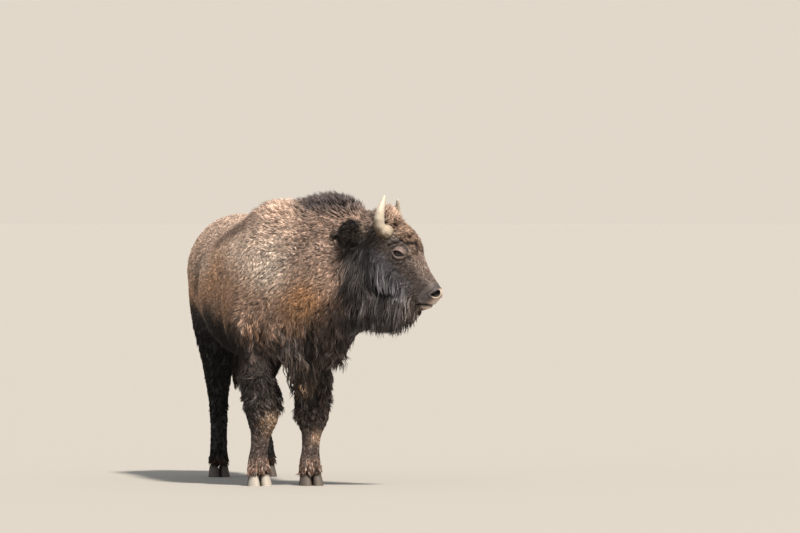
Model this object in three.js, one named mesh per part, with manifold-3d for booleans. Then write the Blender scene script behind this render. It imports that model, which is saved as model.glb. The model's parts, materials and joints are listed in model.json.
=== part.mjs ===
// A young European bison (wisent), standing square with its head turned to its left, as a still model.
// Millimetres. +X is forward along the trunk, +Y is the animal's left, +Z is up. The floor is at Z = 0.
// The outlines are those of the coat's tips. The origin is the middle of the covered floor area.

import * as THREE from "three";
import { mergeGeometries, mergeVertices } from "three/addons/utils/BufferGeometryUtils.js";
import Module from "manifold-3d";

const wasm = await Module();
wasm.setup();

// ---- Driving dimensions ----
const withersHeight = 1338;
const backHeight = 1276;
const croupHeight = 1284;
const chestFloor = 560;
const bellyFloor = 572;
const barrelHalfWidth = 306;
const hipHalfWidth = 284;
const foreFeetY = { left: 116, right: -131 };
const hindFeetY = { left: 112, right: -119 };
const headTurn = THREE.MathUtils.degToRad(61); // to the animal's left
const headPitch = THREE.MathUtils.degToRad(46); // nose down
const headBase = new THREE.Vector3(849, 385, 1180);
const gap = 0.15; // half of the clearance between neighbours

// ---- Tools ----
const vec = (x, y, z) => new THREE.Vector3(x, y, z);

// Smooth curve through rows of numbers whose first entry is the station.
function smoothRows(rows) {
  const stations = rows.map((row) => row[0]);
  const values = rows.flatMap((row) => row.slice(1));
  const curve = new THREE.CubicInterpolant(stations, values, rows[0].length - 1);
  return (station) => Array.from(curve.evaluate(station));
}

// Sine or cosine raised to the power that squares an oval off: 2 keeps it an ellipse.
function squared(value, squareness) {
  return Math.sign(value) * Math.abs(value) ** (2 / squareness);
}

// A closed body from rings of points: each ring is joined to the next, and a fan closes each end.
function bodyFromRings(rings) {
  const around = rings[0].length;
  const middle = (ring) => ring.reduce((sum, p) => sum.add(p), vec(0, 0, 0)).divideScalar(around);
  const points = [...rings.flat(), middle(rings[0]), middle(rings.at(-1))];
  const firstPole = rings.length * around;
  const faces = [];
  for (let i = 0; i < around; i++) {
    const next = (i + 1) % around;
    faces.push(firstPole, next, i);
    const last = (rings.length - 1) * around;
    faces.push(firstPole + 1, last + i, last + next);
    for (let r = 0; r < rings.length - 1; r++) {
      const [a, b] = [r * around + i, r * around + next];
      const [c, d] = [a + around, b + around];
      faces.push(a, b, d, a, d, c);
    }
  }
  const geometry = new THREE.BufferGeometry().setFromPoints(points);
  geometry.setIndex(faces);
  return geometry;
}

// Shares of a length, closer together near both ends, so that the rounded ends stay smooth.
function shares(count) {
  return Array.from({ length: count }, (_, i) => {
    const even = (i + 0.5) / count;
    return 0.35 * even + 0.65 * (0.5 - 0.5 * Math.cos(Math.PI * even));
  });
}

// An oval body along a curve. Rows hold [share of the length, half width, reach to the top side,
// reach to the other side, squareness]. topSide is roughly the direction that the top side faces.
// rounding is the share of the length over which each end closes.
function loft({ points, rows, topSide, rings, around, rounding = [0.08, 0.08], grow = 0 }) {
  const spine = new THREE.CatmullRomCurve3(points.map((p) => vec(...p)), false, "centripetal");
  const sizes = smoothRows(rows);
  const made = shares(rings).map((share) => {
    const along = spine.getTangentAt(share);
    const centre = spine.getPointAt(share).addScaledVector(along, grow * (2 * share - 1));
    const side = vec(...topSide).cross(along).normalize();
    const top = along.clone().cross(side).normalize();
    const fromStart = Math.min(1, share / rounding[0]);
    const fromEnd = Math.min(1, (1 - share) / rounding[1]);
    const closing = Math.sqrt(1 - (1 - fromStart) ** 2) * Math.sqrt(1 - (1 - fromEnd) ** 2);
    const [half, upper, lower, squareness = 2] = sizes(share);
    return Array.from({ length: around }, (_, i) => {
      const angle = (2 * Math.PI * i) / around;
      const across = squared(Math.cos(angle), squareness) * (half * closing + grow);
      const rise = squared(Math.sin(angle), squareness);
      const height = rise * ((rise > 0 ? upper : lower) * closing + grow);
      return centre.clone().addScaledVector(side, across).addScaledVector(top, height);
    });
  });
  return bodyFromRings(made);
}

function solid(geometry) {
  const bare = geometry.clone().deleteAttribute("normal").deleteAttribute("uv");
  const merged = mergeVertices(bare, 1e-3);
  const vertProperties = new Float32Array(merged.attributes.position.array);
  const triVerts = new Uint32Array(merged.index.array);
  const made = new wasm.Manifold(new wasm.Mesh({ numProp: 3, vertProperties, triVerts }));
  if (made.volume() > 0) return made;
  for (let i = 0; i < triVerts.length; i += 3) {
    [triVerts[i + 1], triVerts[i + 2]] = [triVerts[i + 2], triVerts[i + 1]];
  }
  return new wasm.Manifold(new wasm.Mesh({ numProp: 3, vertProperties, triVerts }));
}

const joined = (solids) => solids.reduce((sum, next) => sum.add(next));
const without = (body, cutters) => cutters.reduce((rest, cutter) => rest.subtract(cutter), body);

// The two sides of a plane through a point, a thin gap apart: [the side the normal points to, the other].
function parted(body, point, normal) {
  const unit = normal.clone().normalize();
  const offset = unit.dot(point);
  return [
    body.trimByPlane(unit.toArray(), offset + gap),
    body.trimByPlane(unit.clone().negate().toArray(), -offset + gap),
  ];
}

// Only the largest piece: a cut can leave crumbs beside it.
function largest(body) {
  return body.decompose().sort((a, b) => b.volume() - a.volume())[0];
}

// ---- Trunk: sections across X ----
// [x, half width, top, bottom, height of the widest place]
const trunkRows = [
  [-800, 158, 1172, 800, 1005],
  [-740, 206, 1212, 770, 1010],
  [-650, 258, croupHeight - 20, 728, 1010],
  [-540, hipHalfWidth, croupHeight, 690, 1000],
  [-400, hipHalfWidth + 4, croupHeight - 2, 640, 960],
  [-220, 288, backHeight - 2, 592, 890],
  [-20, barrelHalfWidth, backHeight + 8, bellyFloor, 860],
  [180, 302, withersHeight - 24, chestFloor + 4, 870],
  [360, 284, withersHeight, chestFloor, 890],
  [520, 262, withersHeight + 2, chestFloor + 8, 900],
  [650, 224, withersHeight - 40, 610, 905],
  [745, 160, withersHeight - 180, 690, 900],
];

function trunkBody(grow) {
  const sizes = smoothRows(trunkRows);
  const [tail, chest] = [trunkRows[0][0], trunkRows.at(-1)[0]];
  const around = 22;
  const rings = shares(15).map((share) => {
    const x = tail + (chest - tail) * share + grow * (2 * share - 1);
    const [half, top, bottom, widest] = sizes(x);
    const closing = Math.sqrt(Math.min(1, 1 - (1 - Math.min(1, share / 0.1)) ** 2))
      * Math.sqrt(1 - (1 - Math.min(1, (1 - share) / 0.1)) ** 2);
    return Array.from({ length: around }, (_, i) => {
      const angle = (2 * Math.PI * i) / around;
      const rise = squared(Math.sin(angle), Math.sin(angle) > 0 ? 1.9 : 2.1);
      const reach = rise > 0 ? top - widest : widest - bottom;
      const across = squared(Math.cos(angle), 2.1) * (half * closing + grow);
      return vec(x, across, widest + rise * (reach * closing + grow));
    });
  });
  return solid(bodyFromRings(rings));
}

// Shoulder blade and upper arm: an upright bulge on each side of the chest.
function shoulderMass(side, grow) {
  return solid(loft({
    points: [[400, side * 120, 1200], [425, side * 185, 980], [455, side * 190, 780], [500, side * 165, 620]],
    rows: [[0, 60, 110, 110], [0.3, 96, 180, 185], [0.6, 106, 190, 205], [1, 96, 150, 165]],
    topSide: [1, 0, 0], rings: 8, around: 12, rounding: [0.3, 0.12], grow,
  }));
}

// Haunch: from the hip down to the stifle.
function haunchMass(side, grow) {
  return solid(loft({
    points: [
      [-610, side * 108, 1165], [-600, side * 158, 960], [-560, side * 156, 780], [-540, side * 132, 600],
    ],
    rows: [[0, 60, 110, 90], [0.3, 102, 190, 160], [0.62, 104, 175, 150], [1, 84, 118, 104]],
    topSide: [1, 0, 0], rings: 8, around: 12, rounding: [0.3, 0.1], grow,
  }));
}

// ---- Legs, from inside the trunk down to the coronet, where the hair ends over the claws ----
const kneeHeight = 335;
const hockHeight = 425;
const fetlockHeight = 122;
const coronet = 46;

// The right forefoot stands wider than the left one, and its knee turns in.
function foreleg(side, grow) {
  const foot = side > 0 ? foreFeetY.left : foreFeetY.right;
  const knee = side > 0 ? 124 : -114;
  return solid(loft({
    points: [
      [500, side * 146, 700], [520, side * 130, 560], [550, knee, kneeHeight],
      [545, (knee + foot) / 2, 220], [552, foot - 4, fetlockHeight], [566, foot, coronet],
    ],
    rows: [
      [0, 110, 130, 130], [0.23, 112, 112, 122], [0.42, 104, 92, 104], [0.55, 92, 74, 80],
      [0.64, 70, 60, 62], [0.75, 47, 44, 50], [0.86, 53, 50, 60], [0.93, 59, 52, 62],
      [1, 60, 51, 56],
    ],
    topSide: [1, 0, 0], rings: 13, around: 11, rounding: [0.02, 0.002], grow,
  }));
}

// The left hock turns in.
function hindleg(side, grow) {
  const foot = side > 0 ? hindFeetY.left : hindFeetY.right;
  const hock = side > 0 ? 88 : -110;
  return solid(loft({
    points: [
      [-540, side * 140, 700], [-575, side * 120, 560], [-612, hock, hockHeight],
      [-580, hock * 0.7 + foot * 0.3, 260], [-550, foot, fetlockHeight], [-536, foot, coronet],
    ],
    rows: [
      [0, 96, 130, 120], [0.2, 86, 98, 96], [0.38, 69, 66, 76], [0.46, 62, 54, 68],
      [0.58, 52, 45, 52], [0.74, 48, 43, 47], [0.85, 50, 48, 55], [0.93, 52, 49, 58],
      [1, 52, 50, 54],
    ],
    topSide: [1, 0, 0], rings: 13, around: 11, rounding: [0.02, 0.002], grow,
  }));
}

// ---- Claws and dewclaws ----
const clawLength = 112;
const clawHeight = 70;
const clawSplit = 5;

// One claw: a half hoof, flat below, with an upright inner wall and a sloping rounded toe.
function claw(x, y, inner, halfWidth, grow = 0) {
  const width = halfWidth - clawSplit / 2 + 2 * grow;
  const outline = new THREE.Shape();
  outline.moveTo(-clawLength * 0.42, 0);
  outline.lineTo(clawLength * 0.2, 0);
  outline.quadraticCurveTo(clawLength * 0.56, width * 0.02, clawLength * 0.56, width * 0.42);
  outline.quadraticCurveTo(clawLength * 0.5, width * 0.96, clawLength * 0.08, width);
  outline.quadraticCurveTo(-clawLength * 0.4, width * 1.02, -clawLength * 0.42, width * 0.5);
  const settings = { depth: 1, steps: 2, bevelEnabled: false, curveSegments: 3 };
  const geometry = new THREE.ExtrudeGeometry(outline, settings);
  const position = geometry.attributes.position;
  for (let i = 0; i < position.count; i++) {
    const height = position.getZ(i);
    const narrow = 1 - 0.12 * height; // the wall leans in as it rises
    const px = position.getX(i) * (1 - 0.16 * height) - 12 * height;
    const py = position.getY(i) * narrow;
    const slope = 0.66 + 0.34 * THREE.MathUtils.clamp(0.5 + px / clawLength, 0, 1);
    const inward = clawSplit / 2 - grow;
    const pz = height * (clawHeight + grow) * slope;
    position.setXYZ(i, x + 12 + px * (1 + grow / 50), y + inner * (inward + py), pz);
  }
  return solid(geometry);
}

function dewclaw(x, y, side) {
  return solid(loft({
    points: [[x - 44, y + side * 22, 104], [x - 66, y + side * 27, 86], [x - 72, y + side * 29, 62]],
    rows: [[0, 13, 15, 15], [0.6, 15, 13, 13], [1, 11, 8, 8]],
    topSide: [1, 0, 0], rings: 3, around: 6, rounding: [0.1, 0.25],
  }));
}

// ---- Neck, with its mane, turned to the left ----
function neckBody(grow) {
  return solid(loft({
    points: [[430, 0, 980], [540, 50, 1000], [660, 150, 1020], [760, 265, 1045], [835, 375, 1070]],
    rows: [
      [0, 210, 325, 400], [0.28, 225, 345, 430], [0.56, 212, 361, 440], [0.68, 196, 356, 388],
      [0.78, 178, 337, 345], [0.9, 156, 306, 280], [1, 132, 268, 220],
    ],
    topSide: [-0.1, -0.05, 1], rings: 12, around: 16, rounding: [0.1, 0.07], grow,
  }));
}

// ---- Head ----
// The head's own directions: forward along the face, up from the face, and to the head's left.
const ahead = vec(Math.cos(headTurn), Math.sin(headTurn), 0);
const faceward = ahead.clone().multiplyScalar(Math.cos(headPitch)).add(vec(0, 0, -Math.sin(headPitch)));
const crownward = ahead.clone().multiplyScalar(Math.sin(headPitch)).add(vec(0, 0, Math.cos(headPitch)));
const leftward = vec(0, 0, 1).cross(ahead);

// A place on the head: s along the face, t up from its axis, w to the head's left.
function onHead(s, t, w = 0) {
  const along = headBase.clone().addScaledVector(faceward, s);
  return along.addScaledVector(crownward, t).addScaledVector(leftward, w);
}

// A place below the poll: u along the ground in the head's direction, at height z.
function belowPoll(u, z) {
  return vec(830, 350, z).addScaledVector(ahead, u);
}

// [s, half width, top, bottom, squareness]
const headRows = [
  [-118, 92, 124, 110, 2.0],
  [-66, 108, 143, 138, 2.0],
  [-10, 118, 131, 150, 2.0],
  [40, 124, 133, 152, 2.1],
  [95, 124, 144, 150, 2.1],
  [150, 117, 136, 146, 2.1],
  [195, 101, 104, 142, 2.1],
  [245, 82, 72, 136, 2.1],
  [300, 69, 56, 128, 2.2],
  [350, 62, 46, 118, 2.3],
  [390, 62, 39, 112, 2.4],
  [427, 52, 24, 98, 2.4],
];

function headLoft(grow) {
  const [back, nose] = [headRows[0][0], headRows.at(-1)[0]];
  return solid(loft({
    points: [onHead(back, 0).toArray(), onHead((back + nose) / 2, 0).toArray(), onHead(nose, 0).toArray()],
    rows: headRows.map(([s, ...sizes]) => [(s - back) / (nose - back), ...sizes]),
    topSide: crownward.toArray(), rings: 14, around: 16, rounding: [0.09, 0.035], grow,
  }));
}

// The bony rim above each eye, and the horn's root behind it.
function browMass(side, grow) {
  return solid(loft({
    points: [
      onHead(60, 66, side * 82).toArray(), onHead(125, 52, side * 92).toArray(),
      onHead(185, 32, side * 82).toArray(),
    ],
    rows: [[0, 26, 34, 26], [0.5, 30, 30, 26], [1, 18, 20, 16]],
    topSide: crownward.toArray(), rings: 6, around: 8, rounding: [0.25, 0.25], grow,
  }));
}

function headWhole(grow) {
  return joined([headLoft(grow), browMass(1, grow), browMass(-1, grow)]);
}

// The wedge of the head below the mouth and the cheeks, as an upright slab across the head.
function jawWedge(grow) {
  const [rear, lip] = [60 - grow, 440];
  const mouth = [[lip, -45], [372, -90], [250, -100], [rear, -96], [rear, -260], [lip, -260]];
  const outline = new THREE.Shape(mouth.map(([s, t]) => new THREE.Vector2(s, t + grow)));
  const slab = new THREE.ExtrudeGeometry(outline, { depth: 400, bevelEnabled: false });
  slab.translate(0, 0, -200);
  const place = new THREE.Matrix4().makeBasis(faceward, crownward, leftward.clone().negate());
  slab.applyMatrix4(place.setPosition(headBase));
  return solid(slab);
}

const eyeRadius = 21;
const eyePlace = (side) => onHead(153, 24, side * 104);

function eyeball(side, radius) {
  const geometry = new THREE.SphereGeometry(radius, 10, 8);
  geometry.translate(...eyePlace(side).toArray());
  return solid(geometry);
}

// The left horn is a little shorter and slimmer than the right one.
const hornPaths = {
  left: [[32, 58, 78], [36, 44, 120], [4, 54, 150], [-36, 92, 148], [-84, 152, 114]],
  right: [[32, 58, 78], [36, 44, 120], [4, 54, 152], [-32, 96, 158], [-90, 172, 118]],
};

function horn(side, grow = 0) {
  const path = side > 0 ? hornPaths.left : hornPaths.right;
  const slim = side > 0 ? 0.86 : 1;
  const radii = [[0, 33], [0.25, 32], [0.5, 26 * slim], [0.75, 17 * slim], [1, 7]];
  return solid(loft({
    points: path.map(([s, t, w]) => onHead(s, t, side * w).toArray()),
    rows: radii.map(([share, radius]) => [share, radius, radius, radius]),
    topSide: faceward.toArray(), rings: 11, around: 10, rounding: [0.01, 0.05], grow,
  }));
}

// Ears stick out and back, a flat leaf with a fringe of long hair below.
function ear(side) {
  return solid(loft({
    points: [
      onHead(-34, -24, side * 88).toArray(), onHead(-66, -50, side * 138).toArray(),
      onHead(-88, -78, side * 176).toArray(), onHead(-104, -100, side * 202).toArray(),
    ],
    rows: [[0, 38, 18, 18], [0.35, 66, 22, 22], [0.65, 70, 19, 19], [1, 44, 10, 10]],
    topSide: ahead.clone().multiplyScalar(0.76).addScaledVector(leftward, side * 0.65).toArray(),
    rings: 7, around: 8, rounding: [0.04, 0.2],
  }));
}

// ---- Hair that hangs free: beard, brisket mane, tail ----
function beard() {
  return solid(loft({
    points: [[-70, 880], [40, 860], [150, 852], [238, 850]].map(([u, z]) => belowPoll(u, z).toArray()),
    rows: [[0, 74, 100, 180], [0.36, 72, 100, 148], [0.72, 58, 60, 138], [1, 34, 30, 60]],
    topSide: [0, 0, 1], rings: 8, around: 10, rounding: [0.16, 0.22],
  }));
}

function brisketMane() {
  return solid(loft({
    points: [[600, 30, 760], [672, 52, 620], [680, 60, 500], [655, 62, 405]],
    rows: [[0, 130, 90, 90], [0.4, 118, 78, 76], [0.75, 78, 52, 52], [1, 34, 26, 26]],
    topSide: [1, 0.2, 0], rings: 9, around: 10, rounding: [0.1, 0.18],
  }));
}

const tailRootHeight = 1125;
const tailTuftTop = 790;
const tailTip = 430;

function tail() {
  return solid(loft({
    points: [
      [-680, 0, tailRootHeight - 30], [-760, 1, tailRootHeight - 8], [-816, 3, tailRootHeight - 80],
      [-832, 8, tailTuftTop], [-826, 12, 620], [-820, 14, tailTip],
    ],
    rows: [
      [0, 42, 42, 42], [0.2, 36, 34, 34], [0.5, 26, 24, 24], [0.62, 34, 30, 30],
      [0.8, 45, 40, 40], [1, 22, 20, 20],
    ],
    topSide: [1, 0, 0], rings: 12, around: 8, rounding: [0.02, 0.1],
  }));
}

// ---- Materials ----
const finish = (color, roughness) => new THREE.MeshStandardMaterial({ color, roughness, metalness: 0 });
const materials = {
  coat: finish(0x6f5440, 0.9),
  darkCoat: finish(0x2b2320, 0.9),
  face: finish(0x4a3f39, 0.85),
  nose: finish(0xb59a86, 0.6),
  horn: finish(0xd8ccb4, 0.45),
  hoof: finish(0xa89a88, 0.5),
  eye: finish(0x14100e, 0.1),
};

// ---- Assembly ----
const model = new THREE.Group();

function addNode(name, body, material) {
  const { numProp, vertProperties, triVerts } = largest(body).getMesh();
  const position = new Float32Array((vertProperties.length / numProp) * 3);
  for (let i = 0; i < position.length / 3; i++) {
    position.set(vertProperties.subarray(i * numProp, i * numProp + 3), i * 3);
  }
  const geometry = new THREE.BufferGeometry();
  geometry.setAttribute("position", new THREE.BufferAttribute(position, 3));
  geometry.setIndex(new THREE.BufferAttribute(triVerts, 1));
  geometry.computeVertexNormals();
  const mesh = new THREE.Mesh(geometry, material);
  mesh.name = name;
  model.add(mesh);
}

const clearance = 0.8;
const sides = [[1, "left"], [-1, "right"]];

function bodyWhole(grow) {
  const paired = sides.flatMap(([side]) => [
    shoulderMass(side, grow), haunchMass(side, grow), foreleg(side, grow), hindleg(side, grow),
  ]);
  return joined([trunkBody(grow), neckBody(grow), ...paired]);
}

// The space that holds one leg, below the trunk.
function legSpace(rearX, frontX, side, top, grow) {
  const inner = 4 - grow;
  const box = new THREE.BoxGeometry(frontX - rearX + 2 * grow, 400, top + 20 + grow);
  box.translate((rearX + frontX) / 2, side * (inner + 200), (top - 20 + grow) / 2);
  return solid(box);
}

const head = headWhole(0);
const headCutter = headWhole(clearance);
const bodyCutter = bodyWhole(clearance);
let body = bodyWhole(0);

// Legs: upper and lower lengths, pastern, claws and dewclaws.
const legs = [
  {
    name: "foreleg", x: 552, feetY: foreFeetY, space: [300, 720], top: 590, joint: kneeHeight, half: 58,
  },
  {
    name: "hindleg", x: -550, feetY: hindFeetY, space: [-900, -330], top: 660, joint: hockHeight, half: 52,
  },
];
for (const leg of legs) {
  for (const [side, name] of sides) {
    const y = leg.feetY[name];
    const whole = body.intersect(legSpace(...leg.space, side, leg.top, 0));
    body = body.subtract(legSpace(...leg.space, side, leg.top, 2 * gap));
    const [upper, below] = parted(whole, vec(0, 0, leg.joint), vec(0, 0, 1));
    const [shank, foot] = parted(below, vec(0, 0, fetlockHeight), vec(0, 0, 1));
    const pastern = without(foot, [-1, 1].map((inner) => claw(leg.x, y, inner, leg.half, clearance)));
    addNode(`${leg.name}_${name}_upper`, upper, materials.darkCoat);
    addNode(`${leg.name}_${name}_shank`, shank, materials.darkCoat);
    addNode(`${leg.name}_${name}_pastern`, pastern, materials.darkCoat);
    for (const inner of [-1, 1]) {
      const edge = inner === side ? "outer" : "inner";
      addNode(`${leg.name}_${name}_claw_${edge}`, claw(leg.x, y, inner, leg.half), materials.hoof);
      const spur = without(dewclaw(leg.x, y, inner), [bodyCutter]);
      addNode(`${leg.name}_${name}_dewclaw_${edge}`, spur, materials.hoof);
    }
  }
}

// The neck, and the trunk in three lengths.
const [neckPart, trunk] = parted(body, vec(610, 90, 1000), vec(0.9, 0.36, 0.16));
addNode("neck", without(neckPart, [headCutter]), materials.coat);
const [shoulders, rearPart] = parted(trunk, vec(150, 0, 0), vec(1, 0, 0));
const [barrel, rump] = parted(rearPart, vec(-370, 0, 0), vec(1, 0, 0));
addNode("trunk_shoulders", shoulders, materials.coat);
addNode("trunk_barrel", barrel, materials.coat);
addNode("trunk_rump", rump, materials.coat);

// Head: the skull part, the muzzle and the lower jaw. Eyes and horns sit in their own seats.
const seats = sides.flatMap(([side]) => [eyeball(side, eyeRadius + clearance), horn(side, 1.5 * clearance)]);
const upperHead = without(head, [jawWedge(clearance), ...seats]);
const [muzzle, cranium] = parted(upperHead, onHead(300, 0), faceward);
addNode("head", cranium, materials.face);
addNode("muzzle", muzzle, materials.nose);
addNode("jaw", head.intersect(jawWedge(0)), materials.face);
for (const [side, name] of sides) {
  addNode(`eye_${name}`, eyeball(side, eyeRadius), materials.eye);
  addNode(`horn_${name}`, horn(side), materials.horn);
  addNode(`ear_${name}`, without(ear(side), [headCutter, bodyCutter]), materials.darkCoat);
}

// Hanging hair and the tail.
addNode("beard", without(beard(), [headCutter, bodyCutter]), materials.darkCoat);
addNode("brisket_mane", without(brisketMane(), [bodyCutter]), materials.darkCoat);
const [dock, tuft] = parted(without(tail(), [bodyCutter]), vec(0, 0, tailTuftTop), vec(0, 0, 1));
addNode("tail_dock", dock, materials.coat);
addNode("tail_tuft", tuft, materials.darkCoat);

// The origin moves to the middle of the covered floor area.
const covered = new THREE.Box3().setFromObject(model).getCenter(vec(0, 0, 0));
model.position.set(-covered.x, -covered.y, 0);

export default model;
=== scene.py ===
import json
import math

import bpy
import numpy as np
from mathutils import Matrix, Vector
from mathutils.kdtree import KDTree

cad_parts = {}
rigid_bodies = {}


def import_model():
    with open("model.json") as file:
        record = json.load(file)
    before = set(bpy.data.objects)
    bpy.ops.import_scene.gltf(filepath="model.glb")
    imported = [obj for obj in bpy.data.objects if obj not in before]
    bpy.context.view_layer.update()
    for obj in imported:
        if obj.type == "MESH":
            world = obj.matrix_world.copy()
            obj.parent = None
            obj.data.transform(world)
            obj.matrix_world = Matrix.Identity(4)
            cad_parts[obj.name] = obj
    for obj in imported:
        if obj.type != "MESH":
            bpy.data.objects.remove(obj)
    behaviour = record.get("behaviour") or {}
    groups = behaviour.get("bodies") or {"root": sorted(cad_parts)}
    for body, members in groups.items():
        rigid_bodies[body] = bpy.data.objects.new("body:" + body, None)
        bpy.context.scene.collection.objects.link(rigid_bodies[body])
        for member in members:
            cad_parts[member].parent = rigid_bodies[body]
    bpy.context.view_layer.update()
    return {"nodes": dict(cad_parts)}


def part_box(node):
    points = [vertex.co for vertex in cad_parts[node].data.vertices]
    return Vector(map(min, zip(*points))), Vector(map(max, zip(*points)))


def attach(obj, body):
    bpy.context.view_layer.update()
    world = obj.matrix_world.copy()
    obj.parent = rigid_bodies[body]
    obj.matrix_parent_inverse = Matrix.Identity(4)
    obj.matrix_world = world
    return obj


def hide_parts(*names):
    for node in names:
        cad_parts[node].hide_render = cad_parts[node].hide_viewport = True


# A young wisent as a life-size still model: one skin under a coat of mesh tufts and locks, with eyes,
# horns and hooves of their own. Metres. +X is forward along the trunk, +Y the animal's left.
# Places below are in the animal's own frame, whose zero lies on the floor midway between the fore and
# hind feet, or in the head's frame: s along the face, t up from its axis, w out to a side.

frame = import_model()
sides = {"left": 1.0, "right": -1.0}


def unit(vectors):
    vectors = np.asarray(vectors, float)
    return vectors / np.maximum(np.linalg.norm(vectors, axis=-1, keepdims=True), 1e-12)


def smooth(low, high, value):  # 0 up to low, 1 from high on, smooth between; low may be the larger
    x = np.clip((value - low) / (high - low), 0.0, 1.0)
    return x * x * (3 - 2 * x)


def bell(value, middle, width):
    return np.exp(-(((value - middle) / width) ** 2))


def swirl(places, size, seed):  # a smooth wandering vector field whose waves are about size long
    random = np.random.default_rng(seed)
    field = np.zeros((len(places), 3))
    for _ in range(5):
        way = unit(random.normal(size=3)) * 2 * math.pi / size * random.uniform(0.7, 1.4)
        field += np.sin(places @ way + random.uniform(0, 2 * math.pi))[:, None] * random.normal(size=3)
    return field / 2.2


def boxCentre(node):
    low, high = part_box(node)
    return np.array((low + high) / 2)


def activate(*things):
    bpy.ops.object.select_all(action="DESELECT")
    for thing in things:
        thing.select_set(True)
    bpy.context.view_layer.objects.active = things[0]


def applyModifier(thing, kind, **settings):
    activate(thing)
    modifier = thing.modifiers.new(kind.lower(), kind)
    for key, value in settings.items():
        setattr(modifier, key, value)
    bpy.ops.object.modifier_apply(modifier=modifier.name)


def readPlaces(thing):
    places = np.empty(len(thing.data.vertices) * 3)
    thing.data.vertices.foreach_get("co", places)
    return places.reshape(-1, 3)


def writePlaces(thing, places):
    thing.data.vertices.foreach_set("co", np.asarray(places, np.float32).ravel())
    thing.data.update()


def readNormals(thing):
    normals = np.empty(len(thing.data.vertices) * 3)
    thing.data.vertices.foreach_get("normal", normals)
    return normals.reshape(-1, 3)


def readEdges(thing):
    edges = np.empty(len(thing.data.edges) * 2, np.int32)
    thing.data.edges.foreach_get("vertices", edges)
    return edges.reshape(-1, 2)


# each vertex moves halfway to the mean of its neighbours, times its share
def relaxed(values, edges, times, share=1.0):
    first, second = edges.T
    number = len(values)
    degree = np.maximum(np.bincount(first, minlength=number) + np.bincount(second, minlength=number), 1)
    share = 0.5 * np.broadcast_to(share, (number,))[:, None]
    for _ in range(times):
        total = np.stack([
            np.bincount(first, values[second, k], number) + np.bincount(second, values[first, k], number)
            for k in range(values.shape[1])
        ], 1)
        values = values + (total / degree[:, None] - values) * share
    return values


def copyOf(nodeNames, name):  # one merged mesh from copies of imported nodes
    copies = []
    for nodeName in nodeNames:
        copied = bpy.data.objects.new(name, frame["nodes"][nodeName].data.copy())
        bpy.context.scene.collection.objects.link(copied)
        copied.data.materials.clear()
        copies.append(copied)
    activate(*copies)
    if len(copies) > 1:
        bpy.ops.object.join()
    bpy.ops.object.mode_set(mode="EDIT")
    bpy.ops.mesh.select_all(action="SELECT")
    bpy.ops.mesh.remove_doubles(threshold=2e-5)
    bpy.ops.object.mode_set(mode="OBJECT")
    copies[0].name = name
    copies[0].data.name = name
    return copies[0]


def smoothShaded(thing):
    activate(thing)
    bpy.ops.object.shade_smooth()
    return thing


def keepAttribute(thing, name, values):  # one number or colour for each vertex
    kind, field = "FLOAT", "value"
    if values.ndim == 2:
        kind, field = "FLOAT_COLOR", "color"
        values = np.column_stack([values[:, :3], np.ones(len(values))])
    attribute = thing.data.attributes.new(name, kind, "POINT")
    attribute.data.foreach_set(field, np.asarray(values, np.float32).ravel())


# the animal's and the head's own frames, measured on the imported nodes
barrelRear = -0.36985  # where the barrel is cut from the rump
animalZero = np.array([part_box("trunk_barrel")[0].x - barrelRear, boxCentre("trunk_barrel")[1], 0.0])
headPitch = math.radians(46)  # nose down
eyePlace = np.array([0.153, 0.024, 0.104])
lidRadius = 0.0268
eyeHalf = 0.0272  # half the opening between the lids, along them
lidHeights = (0.0125, 0.0110)  # half the opening across them, above and below
lidTilt = math.radians(28)
upward = np.array([0.0, 0.0, 1.0])
leftward = unit(boxCentre("eye_left") - boxCentre("eye_right"))
ahead = np.cross(leftward, upward)
faceward = ahead * math.cos(headPitch) - upward * math.sin(headPitch)
crownward = ahead * math.sin(headPitch) + upward * math.cos(headPitch)
headAxes = np.stack([faceward, crownward, leftward])
eyesMiddle = (boxCentre("eye_left") + boxCentre("eye_right")) / 2
headZero = eyesMiddle - faceward * eyePlace[0] - crownward * eyePlace[1]
neckWay = unit([0.405, 0.375, 0.09])  # from the withers to the poll
tasselMiddle = np.array([0.668, 0.058, 0.0])
earRoot, earTip = np.array([-0.050, -0.036, 0.100]), np.array([-0.104, -0.100, 0.202])


def onHead(s, t, w):
    return headZero + faceward * s + crownward * t + leftward * w


def toHead(places):
    return (np.asarray(places) - headZero) @ headAxes.T


def headShare(places):  # 1 on the head in front of the neck, 0 off it
    s, t, w = toHead(places).T
    across = np.sqrt((w / 0.135) ** 2 + ((t + 0.005) / 0.165) ** 2)
    return smooth(1.22, 1.0, across) * smooth(-0.08, 0.0, s) * smooth(0.45, 0.44, s)


def foreheadShare(s, t, w):  # the woolly cap between the horns, above the brows
    rim = 0.050 + 0.030 * smooth(0.05, 0.085, np.abs(w)) * smooth(0.07, 0.11, s)
    return smooth(rim, rim + 0.028, t) * smooth(0.215, 0.165, s)


def beardPlace(places):  # level distance ahead of the head's base, and height
    return (places - headZero) @ ahead, places[:, 2]


def beardShare(places):  # jaw, throat and the mass that hangs from them
    s, t, w = toHead(places).T
    far, high = beardPlace(places)
    jaw = smooth(-0.060, -0.095, t) * smooth(0.222, 0.190, far) * smooth(-0.17, -0.11, far)
    return jaw * smooth(0.150, 0.125, np.abs(w)) * smooth(0.66, 0.69, high)


def tasselPlace(places):  # 0 on the middle line of the brisket's hanging mass, 1 at its rim
    return np.hypot(*((places - animalZero - tasselMiddle)[:, :2] / (0.150, 0.115)).T)


def tasselShare(places):
    high = places[:, 2]
    return smooth(1.1, 0.85, tasselPlace(places)) * smooth(0.68, 0.62, high) * smooth(0.36, 0.39, high)


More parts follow.
